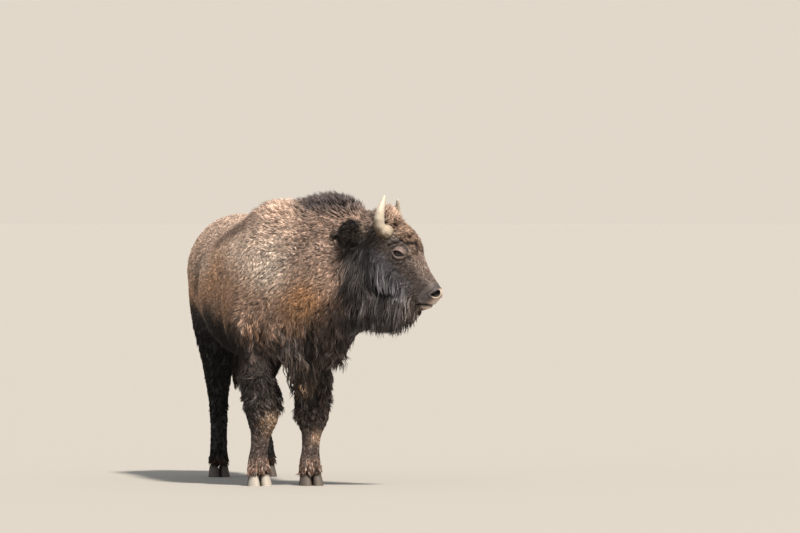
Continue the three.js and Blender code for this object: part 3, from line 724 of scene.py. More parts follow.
def coatFields(places, normals):  # what the coat is like at each place on the skin
    x, y, z = (places - animalZero).T
    head = toHead(places)
    s, t, w = head.T
    number = len(places)
    on, leg, ear, tail = headShare(places), legShare(places), earShare(places), tailShare(places)
    beard, tassel = beardShare(places), tasselShare(places)
    front = smooth(-0.1, 0.1, x)
    neck = smooth(0.50, 0.72, x + 0.25 * np.maximum(y, 0)) * (1 - on) * (1 - leg)
    crest = smooth(1.19, 1.27, z) * smooth(0.30, 0.52, x) * (1 - on) * (1 - ear)
    topline = smooth(1.10, 1.24, z) * (1 - neck)
    breast = np.maximum(smooth(0.84, 0.70, z) * smooth(0.46, 0.64, x) * (1 - leg) * (1 - on), tassel)
    throat = neck * smooth(0.24, 0.34, y) * smooth(1.02, 0.88, z)
    forehead = on * foreheadShare(s, t, w)
    poll = smooth(0.045, 0.080, t) * smooth(0.05, -0.02, s) * smooth(-0.20, -0.13, s)
    poll *= smooth(0.15, 0.12, np.abs(w))
    cheek = on * smooth(0.0, -0.08, t) * smooth(0.33, 0.20, s)
    muzzle = on * smooth(0.33, 0.37, s)
    a, b, c, away, edge = eyeField(head)
    lids = smooth(0.034, 0.022, away) * smooth(-0.05, -0.02, c)
    upperFore = leg * front * smooth(0.34, 0.42, z)
    shank = leg * smooth(0.34, 0.26, z)

    lie = np.tile([-1.0, 0.0, -0.55], (number, 1))
    length, lift, width = np.full(number, 0.024), np.full(number, 0.32), np.ones(number)
    droop, wave = np.full(number, 0.7), np.full(number, 0.10)

    # weight says where; the rest is the lie, length, lift, width, droop and curl that the coat has there
    def give(weight, way=None, long=None, up=None, thin=None, fall=None, curl=None):
        weight = np.clip(weight, 0, 1)
        if way is not None:
            lie[:] += weight[:, None] * (np.asarray(way) - lie)
        for kept, wanted in ((length, long), (lift, up), (width, thin), (droop, fall), (wave, curl)):
            if wanted is not None:
                kept += weight * (wanted - kept)

    # trunk, neck and breast
    give(smooth(-0.3, -0.6, x), (-0.8, 0, -0.7), 0.020, 0.34, 0.95, curl=0.06)
    give(smooth(-0.66, -0.80, x), (-0.1, 0, -1))
    give(topline, (-1, 0, 0.02), 0.022, 0.30)
    give(smooth(0.1, 0.5, x), (-0.8, 0, -0.7), 0.025, 0.36, curl=0.18)
    give(smooth(0.80, 0.66, z) * smooth(0.75, 0.6, x), (-0.6, 0, -0.9), 0.046, 0.38, curl=0.2)
    give(neck, -0.7 * neckWay - 0.6 * upward, 0.034, 0.50, curl=0.30)
    give(neck * smooth(0.95, 1.12, z), -0.9 * neckWay - 0.15 * upward, 0.032, 0.58)
    give(throat, -0.3 * neckWay - upward, 0.070, 0.36, fall=1.0, curl=0.25)
    give(breast, (0.05, 0, -1), 0.085, 0.32, fall=1.0, curl=0.34)
    curtain = bell(y, 0.20, 0.07) * bell(z, 0.70, 0.10) * smooth(0.50, 0.62, x) * (1 - on)
    give(1.4 * curtain, -upward, 0.135, 0.40, fall=1.0, curl=0.3)
    give(crest, -0.8 * neckWay + 0.1 * upward, 0.060, 0.95, 0.9, 0.3, 0.16)
    nape = smooth(0.0, 0.05, t) * bell(s, -0.13, 0.06) * smooth(0.14, 0.10, np.abs(w))
    give(nape, -0.4 * neckWay + 0.4 * upward, 0.080, 1.0, 0.9, 0.3)
    # legs
    give(leg, (-0.2, 0, -1), 0.034, 0.26, 0.9, curl=0.16)
    give(upperFore, (-0.45, 0, -1), 0.058, 0.40, 0.85, 1.0, 0.50)
    give(upperFore * (y < 0) * smooth(0.1, 0.6, normals[:, 1]), (-0.1, 0.4, -1), 0.078, 0.70, curl=0.5)
    leftInside = leg * front * (y > 0) * smooth(0.1, 0.6, -normals[:, 1])
    give(leftInside * bell(z, 0.33, 0.07), (-0.1, -0.5, -1), 0.062, 0.65, fall=0.6)
    give(leg * front * bell(z, 0.305, 0.05) * smooth(0.53, 0.57, x), (0, 0, -1), 0.024, 0.65, 0.9, 0.4, 0.5)
    give(shank, (-0.1, 0, -1), 0.018, 0.24, 0.75, curl=0.06)
    give(smooth(0.15, 0.09, z), (0, 0, -1), 0.034, 0.40, 0.75)
    give(smooth(0.075, 0.055, z), (0, 0, -1), 0.046, 0.55, 0.75)
    # head, beard, tassel, ears and tail
    give(on, -0.75 * faceward - 0.55 * upward, 0.016, 0.36, 1.0, 0.8, 0.06)
    give(on * smooth(0.0, 0.05, t) * smooth(0.14, 0.22, s), -faceward, 0.015, 0.40)
    give(cheek, -0.35 * faceward - 0.95 * upward, 0.026, 0.22, 0.9, 1.0, 0.16)
    give(smooth(0.10, 0.0, s) * on * smooth(0.06, 0.0, t), -0.6 * ahead - 0.8 * upward, 0.036, 0.40, 1.1)
    give(muzzle, -0.8 * faceward - 0.3 * upward, 0.0065, 0.26, 0.75)
    give(lids, -ahead, 0.006, 0.22, 0.7)
    give(forehead, 0.35 * faceward + 0.5 * crownward, 0.030, 0.75, 0.85, 0.35, 0.10)
    give(forehead * smooth(0.13, 0.20, s), 0.3 * faceward - 0.2 * upward, 0.018, 0.60)
    give(poll, 0.6 * crownward - 0.2 * ahead, 0.046, 1.00, 0.85, 0.4, 0.20)
    give(beard, -0.25 * ahead - upward, None, 0.28, 1.0, 1.2, 0.16)
    length[:] += beard * (np.clip(z - beardFloor(places), 0.045, 0.14) - length)
    give(tassel, 0.15 * ahead - upward, None, 0.24, fall=1.2, curl=0.36)
    length[:] += tassel * (np.clip(z - 0.400 - 0.05 * tasselPlace(places), 0.035, 0.15) - length)
    give(ear, None, 0.042, 0.44, 1.0, 0.8, 0.25)
    earWay = np.stack([np.full(number, -0.054), np.full(number, -0.064), 0.102 * np.sign(w)], 1) @ headAxes
    give(ear, 0.9 * unit(earWay) - 0.45 * upward)
    give(tail, (-0.05, 0, -1), 0.035, 0.25, 0.9, 1.0, 0.1)
    give(tail * smooth(0.86, 0.76, z), None, 0.085, 0.22, 1.1, 1.2, 0.2)
    turn = 0.12 + 0.18 * neck + 0.15 * leg + 0.25 * forehead + 0.3 * poll
    lie += swirl(places, 0.30, 31) * (0.22 * (1 - on))[:, None] + swirl(places, 0.055, 32) * turn[:, None]
    lie -= normals * np.sum(lie * normals, 1)[:, None]
    lidEdge = smooth(0.004, 0.0, edge) * (away < 0.04) * (c > -0.03)
    return {
        "lie": unit(lie), "length": length, "lift": lift, "width": width, "droop": droop, "wave": wave,
        "colour": hideColour(places), "x": x,
        "silver": np.clip(on + breast + throat + 1.5 * leg * front - forehead, 0, 1.5),
        "shares": {
            "coat_tail": tail * smooth(0.90, 0.84, z),
            "coat_ears": ear,
            "coat_beard": beard * (1 - ear),
            "coat_forehead": np.maximum(forehead, poll) * (1 - ear),
            "coat_crest": crest * (1 - poll),
            "coat_chest": breast * (1 - beard) * smooth(0.42, 0.55, x),
            "on": on, "leg": leg * (1 - tail), "front": front, "neck": neck,
            "bare": np.maximum(lidEdge, nostrilField(head)[0] < 1.45),
        },
    }


def mortonOrder(places):  # neighbours in space stay neighbours in the list
    grid = ((places - places.min(0)) / 0.004).astype(np.int64)
    code = np.zeros(len(places), np.int64)
    for bit in range(10):
        for axis in range(3):
            code |= ((grid[:, axis] >> bit) & 1) << (3 * bit + axis)
    return np.argsort(code)


def readHide():  # the skin as triangles, with the coat's fields at their corners
    mesh = skinPiece.data
    mesh.calc_loop_triangles()
    number = len(mesh.loop_triangles)
    corners, loops = np.empty(number * 3, np.int32), np.empty(number * 3, np.int32)
    areas = np.empty(number)
    mesh.loop_triangles.foreach_get("vertices", corners)
    mesh.loop_triangles.foreach_get("loops", loops)
    mesh.loop_triangles.foreach_get("area", areas)
    unwrap = np.empty(len(mesh.loops) * 2)
    mesh.uv_layers["OFBake"].data.foreach_get("uv", unwrap)
    places, normals = readPlaces(skinPiece), readNormals(skinPiece)
    corners = corners.reshape(-1, 3)
    order = mortonOrder(places[corners].mean(1))
    return {
        "places": places, "normals": normals, "corners": corners[order], "areas": areas[order],
        "unwrap": unwrap.reshape(-1, 2)[loops].reshape(-1, 3, 2)[order],
        "fields": coatFields(places, normals),
    }


hide = readHide()


def whereGrows(name):  # each piece's share of the skin
    fields = hide["fields"]
    shares, x = fields["shares"], fields["x"]
    special = np.clip(sum(shares[k] for k in shares if k.startswith("coat_")), 0, 1)
    plain = (1 - special) * (1 - shares["on"]) * (1 - shares["leg"])
    if name in shares:
        return shares[name] * (1 - shares["bare"])
    return {
        "coat_croup": plain * (x < -0.36),
        "coat_flank": plain * (x >= -0.36) * (x < 0.02),
        "coat_barrel": plain * (x >= 0.02) * (x < 0.40),
        "coat_shoulder": plain * (x >= 0.40) * (x < 0.66),
        "coat_neck": plain * (x >= 0.66),
        "coat_forelegs": (1 - special) * shares["leg"] * shares["front"],
        "coat_hindlegs": (1 - special) * shares["leg"] * (1 - shares["front"]),
        "coat_face": (1 - special) * shares["on"] * (1 - shares["bare"]),
    }[name]


def sowRoots(name, plan, random):  # places on the skin, thick where the tufts are short and narrow
    fields = hide["fields"]
    size = plan["width"] * fields["width"]
    wanted = whereGrows(name) / (size * np.maximum(fields["length"], 0.010) ** 0.7)
    chance = wanted[hide["corners"]].mean(1) * hide["areas"]
    total = np.cumsum(chance)
    number = plan["tufts"] // 1
    marks = (np.arange(number) + random.random(number)) / number * total[-1]
    faces = np.minimum(np.searchsorted(total, marks), len(total) - 1)
    first, second = np.sqrt(random.random(number)), random.random(number)
    return faces, np.stack([1 - first, first * (1 - second), first * second], 1)


def growCoat(name, plan):
    random = np.random.default_rng(plan["seed"])
    faces, shares = sowRoots(name, plan, random)
    corners = hide["corners"][faces]
    number, rings = len(faces), plan["rings"]

    def atRoots(values):
        return np.einsum("ij,ij...->i...", shares, values[corners])

    fields = hide["fields"]
    roots, normals = atRoots(hide["places"]), unit(atRoots(hide["normals"]))
    lie, colour = unit(atRoots(fields["lie"])), atRoots(fields["colour"])
    length, lift, droop, wave = (atRoots(fields[k]) for k in ("length", "lift", "droop", "wave"))
    width = plan["width"] * atRoots(fields["width"]) * random.uniform(0.75, 1.25, number)

    # every tuft belongs to a lock, whose middle tuft leads it
    leaders = np.sort(random.choice(number, max(number // plan["locks"], 1), replace=False))
    tree = KDTree(len(leaders))
    for i, place in enumerate(roots[leaders]):
        tree.insert(place, i)
    tree.balance()
    lead = leaders[np.array([tree.find(place)[1] for place in roots])]
    lockLength = random.uniform(0.82, 1.15, number)[lead]
    lockTurn = random.normal(0, 0.16, (number, 3))[lead]
    lockTone = random.normal(0, plan["contrast"], number)[lead]
    lockPhase = random.uniform(0, 2 * math.pi, number)[lead]
    length = length * lockLength * random.uniform(0.72, 1.12, number)
    lie = lie + lockTurn + random.normal(0, 0.10, (number, 3))
    lie = unit(lie - normals * np.sum(lie * normals, 1)[:, None])
    lift = lift * random.uniform(0.7, 1.3, number)

    long = smooth(0.05, 0.10, length)  # long hair hangs
    points = [roots - normals * tuft["sunk"]]
    for k in range(rings):
        u = (k + 0.5) / rings
        rise = (lift * (1 - droop * u))[:, None]
        way = lie * np.cos(rise) + normals * np.sin(rise) - upward * (long * 1.1 * u)[:, None]
        points.append(points[-1] + unit(way) * (length / rings)[:, None])
    points = np.stack(points, 1)
    sideways = unit(np.cross(lie, normals))
    for k in range(1, rings + 1):
        u = k / rings
        bend = np.sin(2 * math.pi * length * u / tuft["wave"] + lockPhase) - np.sin(lockPhase)
        points[:, k] += sideways * (bend * wave * u ** 0.5 * np.minimum(length, 0.05) * 0.55)[:, None]
    for k in range(1, rings + 1):
        pull = plan["gather"] * (k / rings) ** 1.3 * random.uniform(0.7, 1.1, number)
        pull = np.where(np.linalg.norm(roots - roots[lead], axis=1) < tuft["reach"], pull, 0)
        points[:, k] += (points[lead, k] - points[:, k]) * pull[:, None]
    keepWithin(name, points)
    tone = np.exp(lockTone + random.normal(0, tuft["uneven"], number) - plan["contrast"] ** 2 / 2 - 0.06)
    colour = colour * np.clip(tone, *tuft["tones"])[:, None]
    grizzle = atRoots(fields["silver"])
    silver = random.random(number) < 0.04 + 0.22 * grizzle  # single pale tufts
    grey = colour[silver].mean(1, keepdims=True) * (0.4 + 0.6 * grizzle[silver, None])
    colour[silver] = colour[silver] * 0.8 + grey
    piece = tuftMesh(name, points, sideways, width, colour, hide["unwrap"][faces], shares)
    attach(piece, "root")
    return piece


def keepWithin(name, points):  # the brisket's tassel draws together below, and all stays over the floor
    if name == "coat_chest":
        own = points - animalZero
        z = own[..., 2]
        reach = np.interp(z, [0.40, 0.46, 0.52, 0.60, 0.70], [0.028, 0.054, 0.074, 0.105, 0.300])
        middle = np.stack([np.interp(z, [0.40, 0.62], [0.655, 0.672]), np.full_like(z, tasselMiddle[1])], -1)
        off = own[..., :2] - middle
        far = np.linalg.norm(off * [1, 0.8], axis=-1)
        under = smooth(0.66, 0.56, z) * (tasselPlace(points[:, 0])[:, None] < 1.15)
        kept = np.minimum(reach / np.maximum(far, 1e-6), 1)
        own[..., :2] = middle + off * (1 - under * (1 - kept))[..., None]
        points[:] = own + animalZero
    points[..., 2] = np.maximum(points[..., 2], tuft["clear"])


def tuftMesh(name, points, sideways, width, colour, unwrap, shares):
    number, rings = len(points), points.shape[1] - 1
    profile = tuft["profiles"][rings]
    rows = []
    for k in range(rings):
        way = unit(points[:, k + 1] - points[:, k])
        side = unit(sideways - way * np.sum(sideways * way, 1)[:, None])
        over = np.cross(side, way)
        half = (width * profile[k] / 2)[:, None]
        for across, high in ((-1, -0.3), (1, -0.3), (0, 0.7)):  # three corners: flat below, ridged above
            rows.append(points[:, k] + side * half * across + over * half * high)
    rows.append(points[:, rings])
    places = np.stack(rows, 1)
    tip = 3 * rings
    polygons, spots = [(0, 1, 2)], [((0.0, 0.1), (0.33, 0.1), (0.17, 0.0))]
    for k in range(rings):
        low, high = 0.1 + 0.9 * k / rings, 0.1 + 0.9 * (k + 1) / rings
        for i in range(3):
            j = (i + 1) % 3
            u, v = i / 3, (i + 1) / 3
            if k < rings - 1:
                polygons.append((3 * k + i, 3 * k + 3 + i, 3 * k + 3 + j, 3 * k + j))
                spots.append(((u, low), (u, high), (v, high), (v, low)))
            else:
                polygons.append((3 * k + i, tip, 3 * k + j))
                spots.append(((u, low), ((u + v) / 2, high), (v, low)))
    each = tip + 1
    corners = np.array([corner for polygon in polygons for corner in polygon])
    loopsEach = len(corners)
    mesh = bpy.data.meshes.new(name)
    mesh.vertices.add(number * each)
    mesh.vertices.foreach_set("co", places.astype(np.float32).ravel())
    mesh.loops.add(number * loopsEach)
    loops = corners[None] + (np.arange(number) * each)[:, None]
    mesh.loops.foreach_set("vertex_index", loops.astype(np.int32).ravel())
    sizes = np.array([len(polygon) for polygon in polygons])
    starts = np.concatenate([[0], np.cumsum(sizes)[:-1]])[None] + (np.arange(number) * loopsEach)[:, None]
    mesh.polygons.add(number * len(polygons))
    mesh.polygons.foreach_set("loop_start", starts.astype(np.int32).ravel())
    mesh.polygons.foreach_set("use_smooth", np.ones(number * len(polygons), bool))
    mesh.update(calc_edges=True)
    piece = bpy.data.objects.new(name, mesh)
    bpy.context.scene.collection.objects.link(piece)
    centres = np.einsum("ij,ijk->ik", shares, unwrap)
    patch = np.array([spot for polygon in spots for spot in polygon]) - 0.5
    layer = mesh.uv_layers.new(name="OFBake")
    spread = centres[:, None] + patch[None] * tuft["patch"]
    layer.data.foreach_set("uv", spread.astype(np.float32).ravel())
    along = np.array([k / rings for k in range(rings) for _ in range(3)] + [1.0])
    keepAttribute(piece, "along", np.tile(along, number))
    keepAttribute(piece, "hairColour", np.repeat(colour, each, 0))
    print(name, "tufts", number, "triangles", number * (6 * rings - 2))
    return piece


# painted shade: the skin is darkened where long coat lies over it
shadeUnderCoat = 1 - 0.6 * smooth(0.010, 0.020, hide["fields"]["length"])  # darker where the coat is long
keepAttribute(skinPiece, "hairColour", hide["fields"]["colour"] * shadeUnderCoat[:, None])
coatPieces = {name: growCoat(name, plan) for name, plan in coat.items()}
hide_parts("beard")
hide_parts("brisket_mane")
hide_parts("tail_tuft")


eye = {
    "ball": 0.0228,
    "gaze": np.array([0.22, 0.0, 0.975]),
    "iris": 36.0,  # degrees from the gaze to its edge
    "cornea": 0.085,  # how much the cornea stands out, as a share of the ball
    "pupil": (0.0078, 0.0042),
    "white": "#2a1f1b",
    "rim": "#120d0b",
    "brown": "#1c0f08",
    "lashes": 46,
    "lash": "#1a1411",
}


def makeEye(side):
    bpy.ops.mesh.primitive_uv_sphere_add(segments=48, ring_count=36, radius=eye["ball"])
    piece = bpy.context.object
    piece.name = piece.data.name = f"eyeball_{side}"
    own = readPlaces(piece)
    turned = np.degrees(np.arccos(np.clip(own[:, 2] / eye["ball"], -1, 1)))
    out = np.array([1, 1, sides[side]])
    gaze = unit(eye["gaze"] * out) @ headAxes
    across = unit(np.cross(crownward, gaze))
    axes = np.stack([across, np.cross(gaze, across), gaze])
    places = own * (1 + eye["cornea"] * smooth(eye["iris"] + 4, 12, turned))[:, None]
    writePlaces(piece, onHead(*(eyePlace * out)) + places @ axes)
    colour = np.tile(toLinear(eye["white"]), (len(own), 1))
    pupil = np.hypot(*(own[:, :2] / eye["pupil"]).T)
    for name, share in (
        ("rim", smooth(eye["iris"] + 3, eye["iris"], turned)),
        ("brown", smooth(eye["iris"] - 1, eye["iris"] - 5, turned)),
        ("rim", smooth(1.08, 0.92, pupil) * (own[:, 2] > 0)),
    ):
        colour += share[:, None] * (np.array(toLinear(eye[name])) - colour)
    keepAttribute(piece, "eyeColour", colour)
    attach(piece, "root")
    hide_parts(f"eye_{side}")
    return smoothShaded(piece)


def makeLashes(side):  # along the edge of the upper lid
    random = np.random.default_rng(40)
    number = eye["lashes"]
    a = np.linspace(-0.85, 0.85, number) * eyeHalf + random.normal(0, 0.0004, number)
    b = lidHeights[0] * (1 - (a / eyeHalf) ** 2) + 0.0008
    c = np.sqrt(np.maximum(0.0262 ** 2 - a ** 2 - b ** 2, 0.0002))
    sign = sides[side]
    s = eyePlace[0] + a * math.cos(lidTilt) - b * math.sin(lidTilt)
    t = eyePlace[1] + a * math.sin(lidTilt) + b * math.cos(lidTilt)
    roots = headZero + np.stack([s, t, sign * (eyePlace[2] + c)], 1) @ headAxes
    fan = np.stack([a * 14, np.full(number, 0.1), np.full(number, sign)], 1)
    fan += random.normal(0, 0.08, (number, 3))
    way = unit(fan @ headAxes)
    length = random.uniform(0.011, 0.017, number)[:, None]
    points = [roots, roots + way * length * 0.5, roots + unit(way - 0.5 * upward) * length]
    colour = np.tile(toLinear(eye["lash"])[:3], (number, 1))
    piece = tuftMesh(
        f"lashes_{side}", np.stack(points, 1), np.cross(way, upward), np.full(number, 0.0014), colour,
        np.full((number, 3, 2), 0.5), random.dirichlet([1, 1, 1], number))
    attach(piece, "root")
    return piece


eyePieces = {side: makeEye(side) for side in sides}
lashPieces = {side: makeLashes(side) for side in sides}


horn = {  # its middle line, from the seat on the head and on to the tip
    "seat": [(0.032, 0.058, 0.078), (0.036, 0.044, 0.120)],
    "path": {
        "left": [(0.004, 0.054, 0.150), (-0.036, 0.092, 0.148), (-0.084, 0.152, 0.114)],
        "right": [(0.004, 0.054, 0.152), (-0.032, 0.096, 0.158), (-0.090, 0.172, 0.118)],
    },
    "voxel": 0.0028,
    "rings": 0.009,  # spacing of the growth rings near the base
}


def alongPath(head, path):  # how far along the horn a point lies, in metres
    best, result, walked = np.full(len(head), np.inf), np.zeros(len(head)), 0.0
    for start, end in zip(path[:-1], path[1:]):
        start, end = np.array(start), np.array(end)
        span = np.linalg.norm(end - start)
        share = np.clip((head - start) @ (end - start) / span ** 2, 0, 1)
        away = np.linalg.norm(head - start - share[:, None] * (end - start), axis=1)
        nearer = away < best
        best, result = np.where(nearer, away, best), np.where(nearer, walked + share * span, result)
        walked += span
    return result


def makeHorn(side):
    piece = copyOf([f"horn_{side}"], f"horn_sheath_{side}")
    applyModifier(piece, "REMESH", mode="VOXEL", voxel_size=horn["voxel"], adaptivity=0.0)
    places = relaxed(readPlaces(piece), readEdges(piece), 24, 1.0)
    writePlaces(piece, places)
    head = toHead(places) * [1, 1, sides[side]]
    along = alongPath(head, horn["seat"] + horn["path"][side])
    wander = swirl(places, 0.03, 51)[:, 0] * 0.004
    ridges = np.sin(2 * math.pi * (along + wander) / horn["rings"]) * smooth(0.17, 0.03, along) * 0.0007
    writePlaces(piece, places + readNormals(piece) * (ridges + 0.0006)[:, None])
    keepAttribute(piece, "along", along)
    # painted shade: the underside near the base is marked for darkening, by how it faces away from the crown
    under = smooth(0.45, -0.55, readNormals(piece) @ crownward)
    keepAttribute(piece, "shade", under * smooth(0.19, 0.07, along))
    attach(piece, "root")
    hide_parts(f"horn_{side}")
    return smoothShaded(piece)


hornPieces = {side: makeHorn(side) for side in sides}


hoof = {
    "voxel": 0.0032,
    "paleToes": {"foreleg_right": 1.0, "foreleg_left": 0.15, "hindleg_right": 0.1, "hindleg_left": 0.1},
}


def makeHoof(foot, part):
    node = f"{foot}_{part}"
    piece = copyOf([node], f"{node}_horn")
    applyModifier(piece, "REMESH", mode="VOXEL", voxel_size=hoof["voxel"], adaptivity=0.0)
    places = relaxed(readPlaces(piece), readEdges(piece), 12, 1.0)
    low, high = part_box(node)
    sole = part.startswith("claw")
    if sole:  # a sloped toe and a narrower top
        high01 = np.clip(places[:, 2] / high.z, 0, 1)
        middle = (low.y + high.y) / 2
        places[:, 1] = middle + (places[:, 1] - middle) * (1.02 - 0.16 * high01)
        toe = smooth(low.x, high.x, places[:, 0])
        places[:, 0] -= 0.030 * high01 * toe
        places[:, 2] = np.where(places[:, 2] < 0.006, 0.0, places[:, 2])
    writePlaces(piece, places)
    front = (places[:, 0] - low.x) / (high.x - low.x)
    height = places[:, 2] + 0.003 * swirl(places, 0.02, 61)[:, 0]
    pale = smooth(0.42, 0.62, front) * smooth(0.058, 0.040, height)
    keepAttribute(piece, "pale", pale * hoof["paleToes"][foot] * sole)
    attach(piece, "root")
    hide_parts(node)
    return smoothShaded(piece)


hoofPieces = [
    makeHoof(f"{leg}_{side}", f"{kind}_{place}")
    for leg in ("foreleg", "hindleg") for side in sides
    for kind in ("claw", "dewclaw") for place in ("inner", "outer")
]
print("eyes, horns and hooves made")


# lays a colour on the surface, darker and paler with a pattern that runs from low to high
def layColour(tree, shader, colour, pattern, low, high, darkest, palest):
    factor = addNode(tree, "ShaderNodeMapRange", {0: pattern, 1: low, 2: high, 3: darkest, 4: palest})
    inputs = {0: colour, "Scale": factor.outputs[0]}
    shade = addNode(tree, "ShaderNodeVectorMath", inputs, operation="SCALE")
    tree.links.new(shade.outputs[0], shader.inputs["Base Color"])


# wool and guard hair: dark at the roots, partly darker hair and partly painted shade between the hairs,
# sun-paled and dry at the tips
def hairMaterial(name, roots, tips, roughness):
    material, tree, shader = newMaterial(name)
    colour = addNode(tree, "ShaderNodeAttribute", attribute_name="hairColour")
    along = addNode(tree, "ShaderNodeAttribute", attribute_name="along")
    ramp = addNode(tree, "ShaderNodeMapRange", {0: along.outputs["Fac"], 1: 0.0, 2: 1.0, 3: roots, 4: tips})
    inputs = {0: colour.outputs["Color"], "Scale": ramp.outputs[0]}
    hair = addNode(tree, "ShaderNodeVectorMath", inputs, operation="SCALE")
    place = addNode(tree, "ShaderNodeTexCoord")
    inputs = {"Vector": place.outputs["Object"], "Scale": 9.0, "Detail": 4.0}
    noise = addNode(tree, "ShaderNodeTexNoise", inputs)
    layColour(tree, shader, hair.outputs[0], noise.outputs["Fac"], 0.3, 0.7, 0.86, 1.16)
    shader.inputs["Roughness"].default_value = roughness
    shader.inputs["Specular IOR Level"].default_value = 0.28
    return material


# haired hide: under the coat it only closes the gaps, and it is finely pored all over
def hideMaterial():
    material, tree, shader = newMaterial("haired hide")
    colour = addNode(tree, "ShaderNodeAttribute", attribute_name="hairColour")
    place = addNode(tree, "ShaderNodeTexCoord")
    inputs = {"Vector": place.outputs["Object"], "Scale": 260.0, "Detail": 3.0}
    pores = addNode(tree, "ShaderNodeTexNoise", inputs)
    layColour(tree, shader, colour.outputs["Color"], pores.outputs["Fac"], 0.3, 0.7, 0.62, 1.05)
    inputs = {"Height": pores.outputs["Fac"], "Strength": 0.5, "Distance": 0.002}
    bump = addNode(tree, "ShaderNodeBump", inputs)
    tree.links.new(bump.outputs[0], shader.inputs["Normal"])
    shader.inputs["Roughness"].default_value = 0.62
    return material


# moist cornea: a clear wet film over a dark brown iris, with a sharp highlight
def eyeMaterial():
    material, tree, shader = newMaterial("moist eye")
    colour = addNode(tree, "ShaderNodeAttribute", attribute_name="eyeColour")
    place = addNode(tree, "ShaderNodeTexCoord")
    inputs = {"Vector": place.outputs["Object"], "Scale": 900.0, "Detail": 2.0}
    noise = addNode(tree, "ShaderNodeTexNoise", inputs)
    layColour(tree, shader, colour.outputs["Color"], noise.outputs["Fac"], 0.3, 0.7, 0.8, 1.2)
    shader.inputs["Roughness"].default_value = 0.12
    shader.inputs["IOR"].default_value = 1.376
    shader.inputs["Coat Weight"].default_value = 0.35
    shader.inputs["Coat Roughness"].default_value = 0.02
    return material


# horn sheath: ivory keratin, ringed and grey at the base
def hornMaterial():
    material, tree, shader = newMaterial("horn sheath")
    along = addNode(tree, "ShaderNodeAttribute", attribute_name="along")
    under = addNode(tree, "ShaderNodeAttribute", attribute_name="shade")
    length = addNode(tree, "ShaderNodeMapRange", {0: along.outputs["Fac"], 1: 0.0, 2: 0.25})
    ramp = addNode(tree, "ShaderNodeValToRGB", {0: length.outputs[0]})
    elements = ramp.color_ramp.elements
    for element, (position, colour) in zip(elements, ((0.0, "#82725f"), (0.22, "#b3a695"))):
        element.position, element.color = position, toLinear(colour)
    elements.new(0.80).color = toLinear("#bcb2a4")
    elements.new(1.0).color = toLinear("#b8ad9c")
    # painted shade: dark brown laid over the underside near the base
    inputs = {0: under.outputs["Fac"], 6: ramp.outputs["Color"], 7: toLinear("#4b3a26")}
    shadedBelow = addNode(tree, "ShaderNodeMix", inputs, data_type="RGBA")
    place = addNode(tree, "ShaderNodeTexCoord")
    inputs = {"Vector": place.outputs["Object"], "Scale": 110.0, "Detail": 4.0}
    streaks = addNode(tree, "ShaderNodeTexNoise", inputs)
    layColour(tree, shader, shadedBelow.outputs[2], streaks.outputs["Fac"], 0.3, 0.7, 0.82, 1.05)
    inputs = {"Height": streaks.outputs["Fac"], "Strength": 0.25, "Distance": 0.001}
    bump = addNode(tree, "ShaderNodeBump", inputs)
    tree.links.new(bump.outputs[0], shader.inputs["Normal"])
    shader.inputs["Roughness"].default_value = 0.50
    shader.inputs["IOR"].default_value = 1.54
    return material


# hoof horn: brown, dull and ringed along its height, worn pale at the toes
def hoofMaterial():
    material, tree, shader = newMaterial("hoof horn")
    pale = addNode(tree, "ShaderNodeAttribute", attribute_name="pale")
    place = addNode(tree, "ShaderNodeTexCoord")
    inputs = {"Vector": place.outputs["Object"], "Scale": 40.0, "Distortion": 2.5, "Detail": 2.0}
    rings = addNode(tree, "ShaderNodeTexWave", inputs, wave_type="BANDS", bands_direction="Z")
    inputs = {"Vector": place.outputs["Object"], "Scale": 70.0, "Detail": 4.0}
    noise = addNode(tree, "ShaderNodeTexNoise", inputs)
    inputs = {0: noise.outputs["Fac"], 6: toLinear("#211611"), 7: toLinear("#3a2a21")}
    brown = addNode(tree, "ShaderNodeMix", inputs, data_type="RGBA")
    inputs = {0: pale.outputs["Fac"], 6: brown.outputs[2], 7: toLinear("#a19b92")}
    worn = addNode(tree, "ShaderNodeMix", inputs, data_type="RGBA")
    layColour(tree, shader, worn.outputs[2], rings.outputs["Fac"], 0.0, 1.0, 0.84, 1.04)
    inputs = {"Height": rings.outputs["Fac"], "Strength": 0.4, "Distance": 0.001}
    bump = addNode(tree, "ShaderNodeBump", inputs)
    tree.links.new(bump.outputs[0], shader.inputs["Normal"])
    shader.inputs["Roughness"].default_value = 0.68
    shader.inputs["IOR"].default_value = 1.54
    return material


skinPiece.data.materials.append(hideMaterial())
shortHair = hairMaterial("winter wool", 0.18, 1.50, 0.62)
longHair = hairMaterial("guard hair", 0.20, 1.50, 0.50)
for name, piece in coatPieces.items():
    piece.data.materials.append(longHair if coat[name]["rings"] > 2 else shortHair)
for pieces, material in (
    (eyePieces.values(), eyeMaterial()), (hornPieces.values(), hornMaterial()), (hoofPieces, hoofMaterial()),
    (lashPieces.values(), shortHair),
):
    for piece in pieces:
        piece.data.materials.append(material)


stage = {
    "lens": 0.300,
    "sensor": 0.036,
    "distance": 31.2,  # to the fore feet, along the view
    "turn": math.radians(78),
    "dip": math.radians(0.45),
    "sideOffset": 0.5335,  # the view's middle lies this far to the right of the fore feet
    "rise": 1.025,
    "foreFeet": np.array([0.540, 0.0, 0.0]),
    "horizon": "#f8eedf",
    "zenith": "#d9dadb",
    "skyStrength": 0.8,
    "suns": [  # right of the view, towards it, up; strength; softness in degrees; colour
        ("key", (0.34, 0.52, 1.0), 6.3, 6, "#fff3e4"),
        ("fill", (-0.9, 0.5, 0.3), 0.35, 40, "#e6ecf6"),
    ],
}


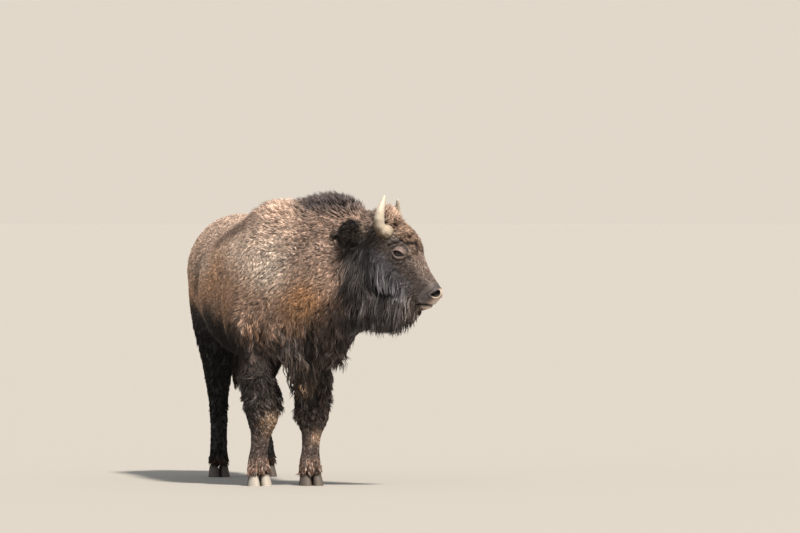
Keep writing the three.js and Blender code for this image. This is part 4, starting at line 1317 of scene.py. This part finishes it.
def makeCamera():
    right = np.array([math.cos(stage["turn"]), math.sin(stage["turn"]), 0.0])
    away = np.cross(upward, right)
    forward = away * math.cos(stage["dip"]) - upward * math.sin(stage["dip"])
    upInView = np.cross(right, forward)
    place = animalZero + stage["foreFeet"] - forward * stage["distance"]
    place = place + right * stage["sideOffset"] + upInView * stage["rise"]
    bpy.ops.object.camera_add(location=place)
    camera = bpy.context.object
    camera.data.lens = stage["lens"] * 1000
    camera.data.sensor_width = stage["sensor"] * 1000
    camera.data.clip_end = 1500
    camera.rotation_euler = Vector(forward).to_track_quat("-Z", "Y").to_euler()
    bpy.context.scene.camera = camera


def makeStage():
    bpy.ops.mesh.primitive_plane_add(size=1600, location=(0, 0, 0))
    floor = bpy.context.object
    floor.name = "floor"
    bpy.ops.object.transform_apply(location=True, rotation=True, scale=True)
    material, tree, shader = newMaterial("pale floor paint")
    shader.inputs["Base Color"].default_value = toLinear("#9a9894")
    shader.inputs["Roughness"].default_value = 0.9
    floor.data.materials.append(material)
    world = bpy.data.worlds.new("studio")
    bpy.context.scene.world = world
    world.use_nodes = True
    tree = world.node_tree
    place = addNode(tree, "ShaderNodeTexCoord")
    height = addNode(tree, "ShaderNodeSeparateXYZ", {0: place.outputs["Generated"]})
    # the sky is as bright as the floor where they meet
    sky = addNode(tree, "ShaderNodeValToRGB", {0: height.outputs["Z"]})
    for element, position, name in zip(sky.color_ramp.elements, (0.06, 0.45), ("horizon", "zenith")):
        element.position, element.color = position, toLinear(stage[name])
    tree.links.new(sky.outputs["Color"], tree.nodes["Background"].inputs["Color"])
    tree.nodes["Background"].inputs["Strength"].default_value = stage["skyStrength"]
    bpy.context.scene.view_settings.view_transform = "Standard"
    right = np.array([math.cos(stage["turn"]), math.sin(stage["turn"]), 0.0])
    toCamera = np.cross(right, upward)
    for name, (across, near, high), strength, softness, colour in stage["suns"]:
        bpy.ops.object.light_add(type="SUN", location=(0, 0, 4))
        light = bpy.context.object
        light.name = name
        light.data.energy = strength
        light.data.angle = math.radians(softness)
        light.data.color = toLinear(colour)[:3]
        way = right * across + toCamera * near + upward * high
        light.rotation_euler = Vector(-way).to_track_quat("-Z", "Y").to_euler()


makeCamera()
makeStage()
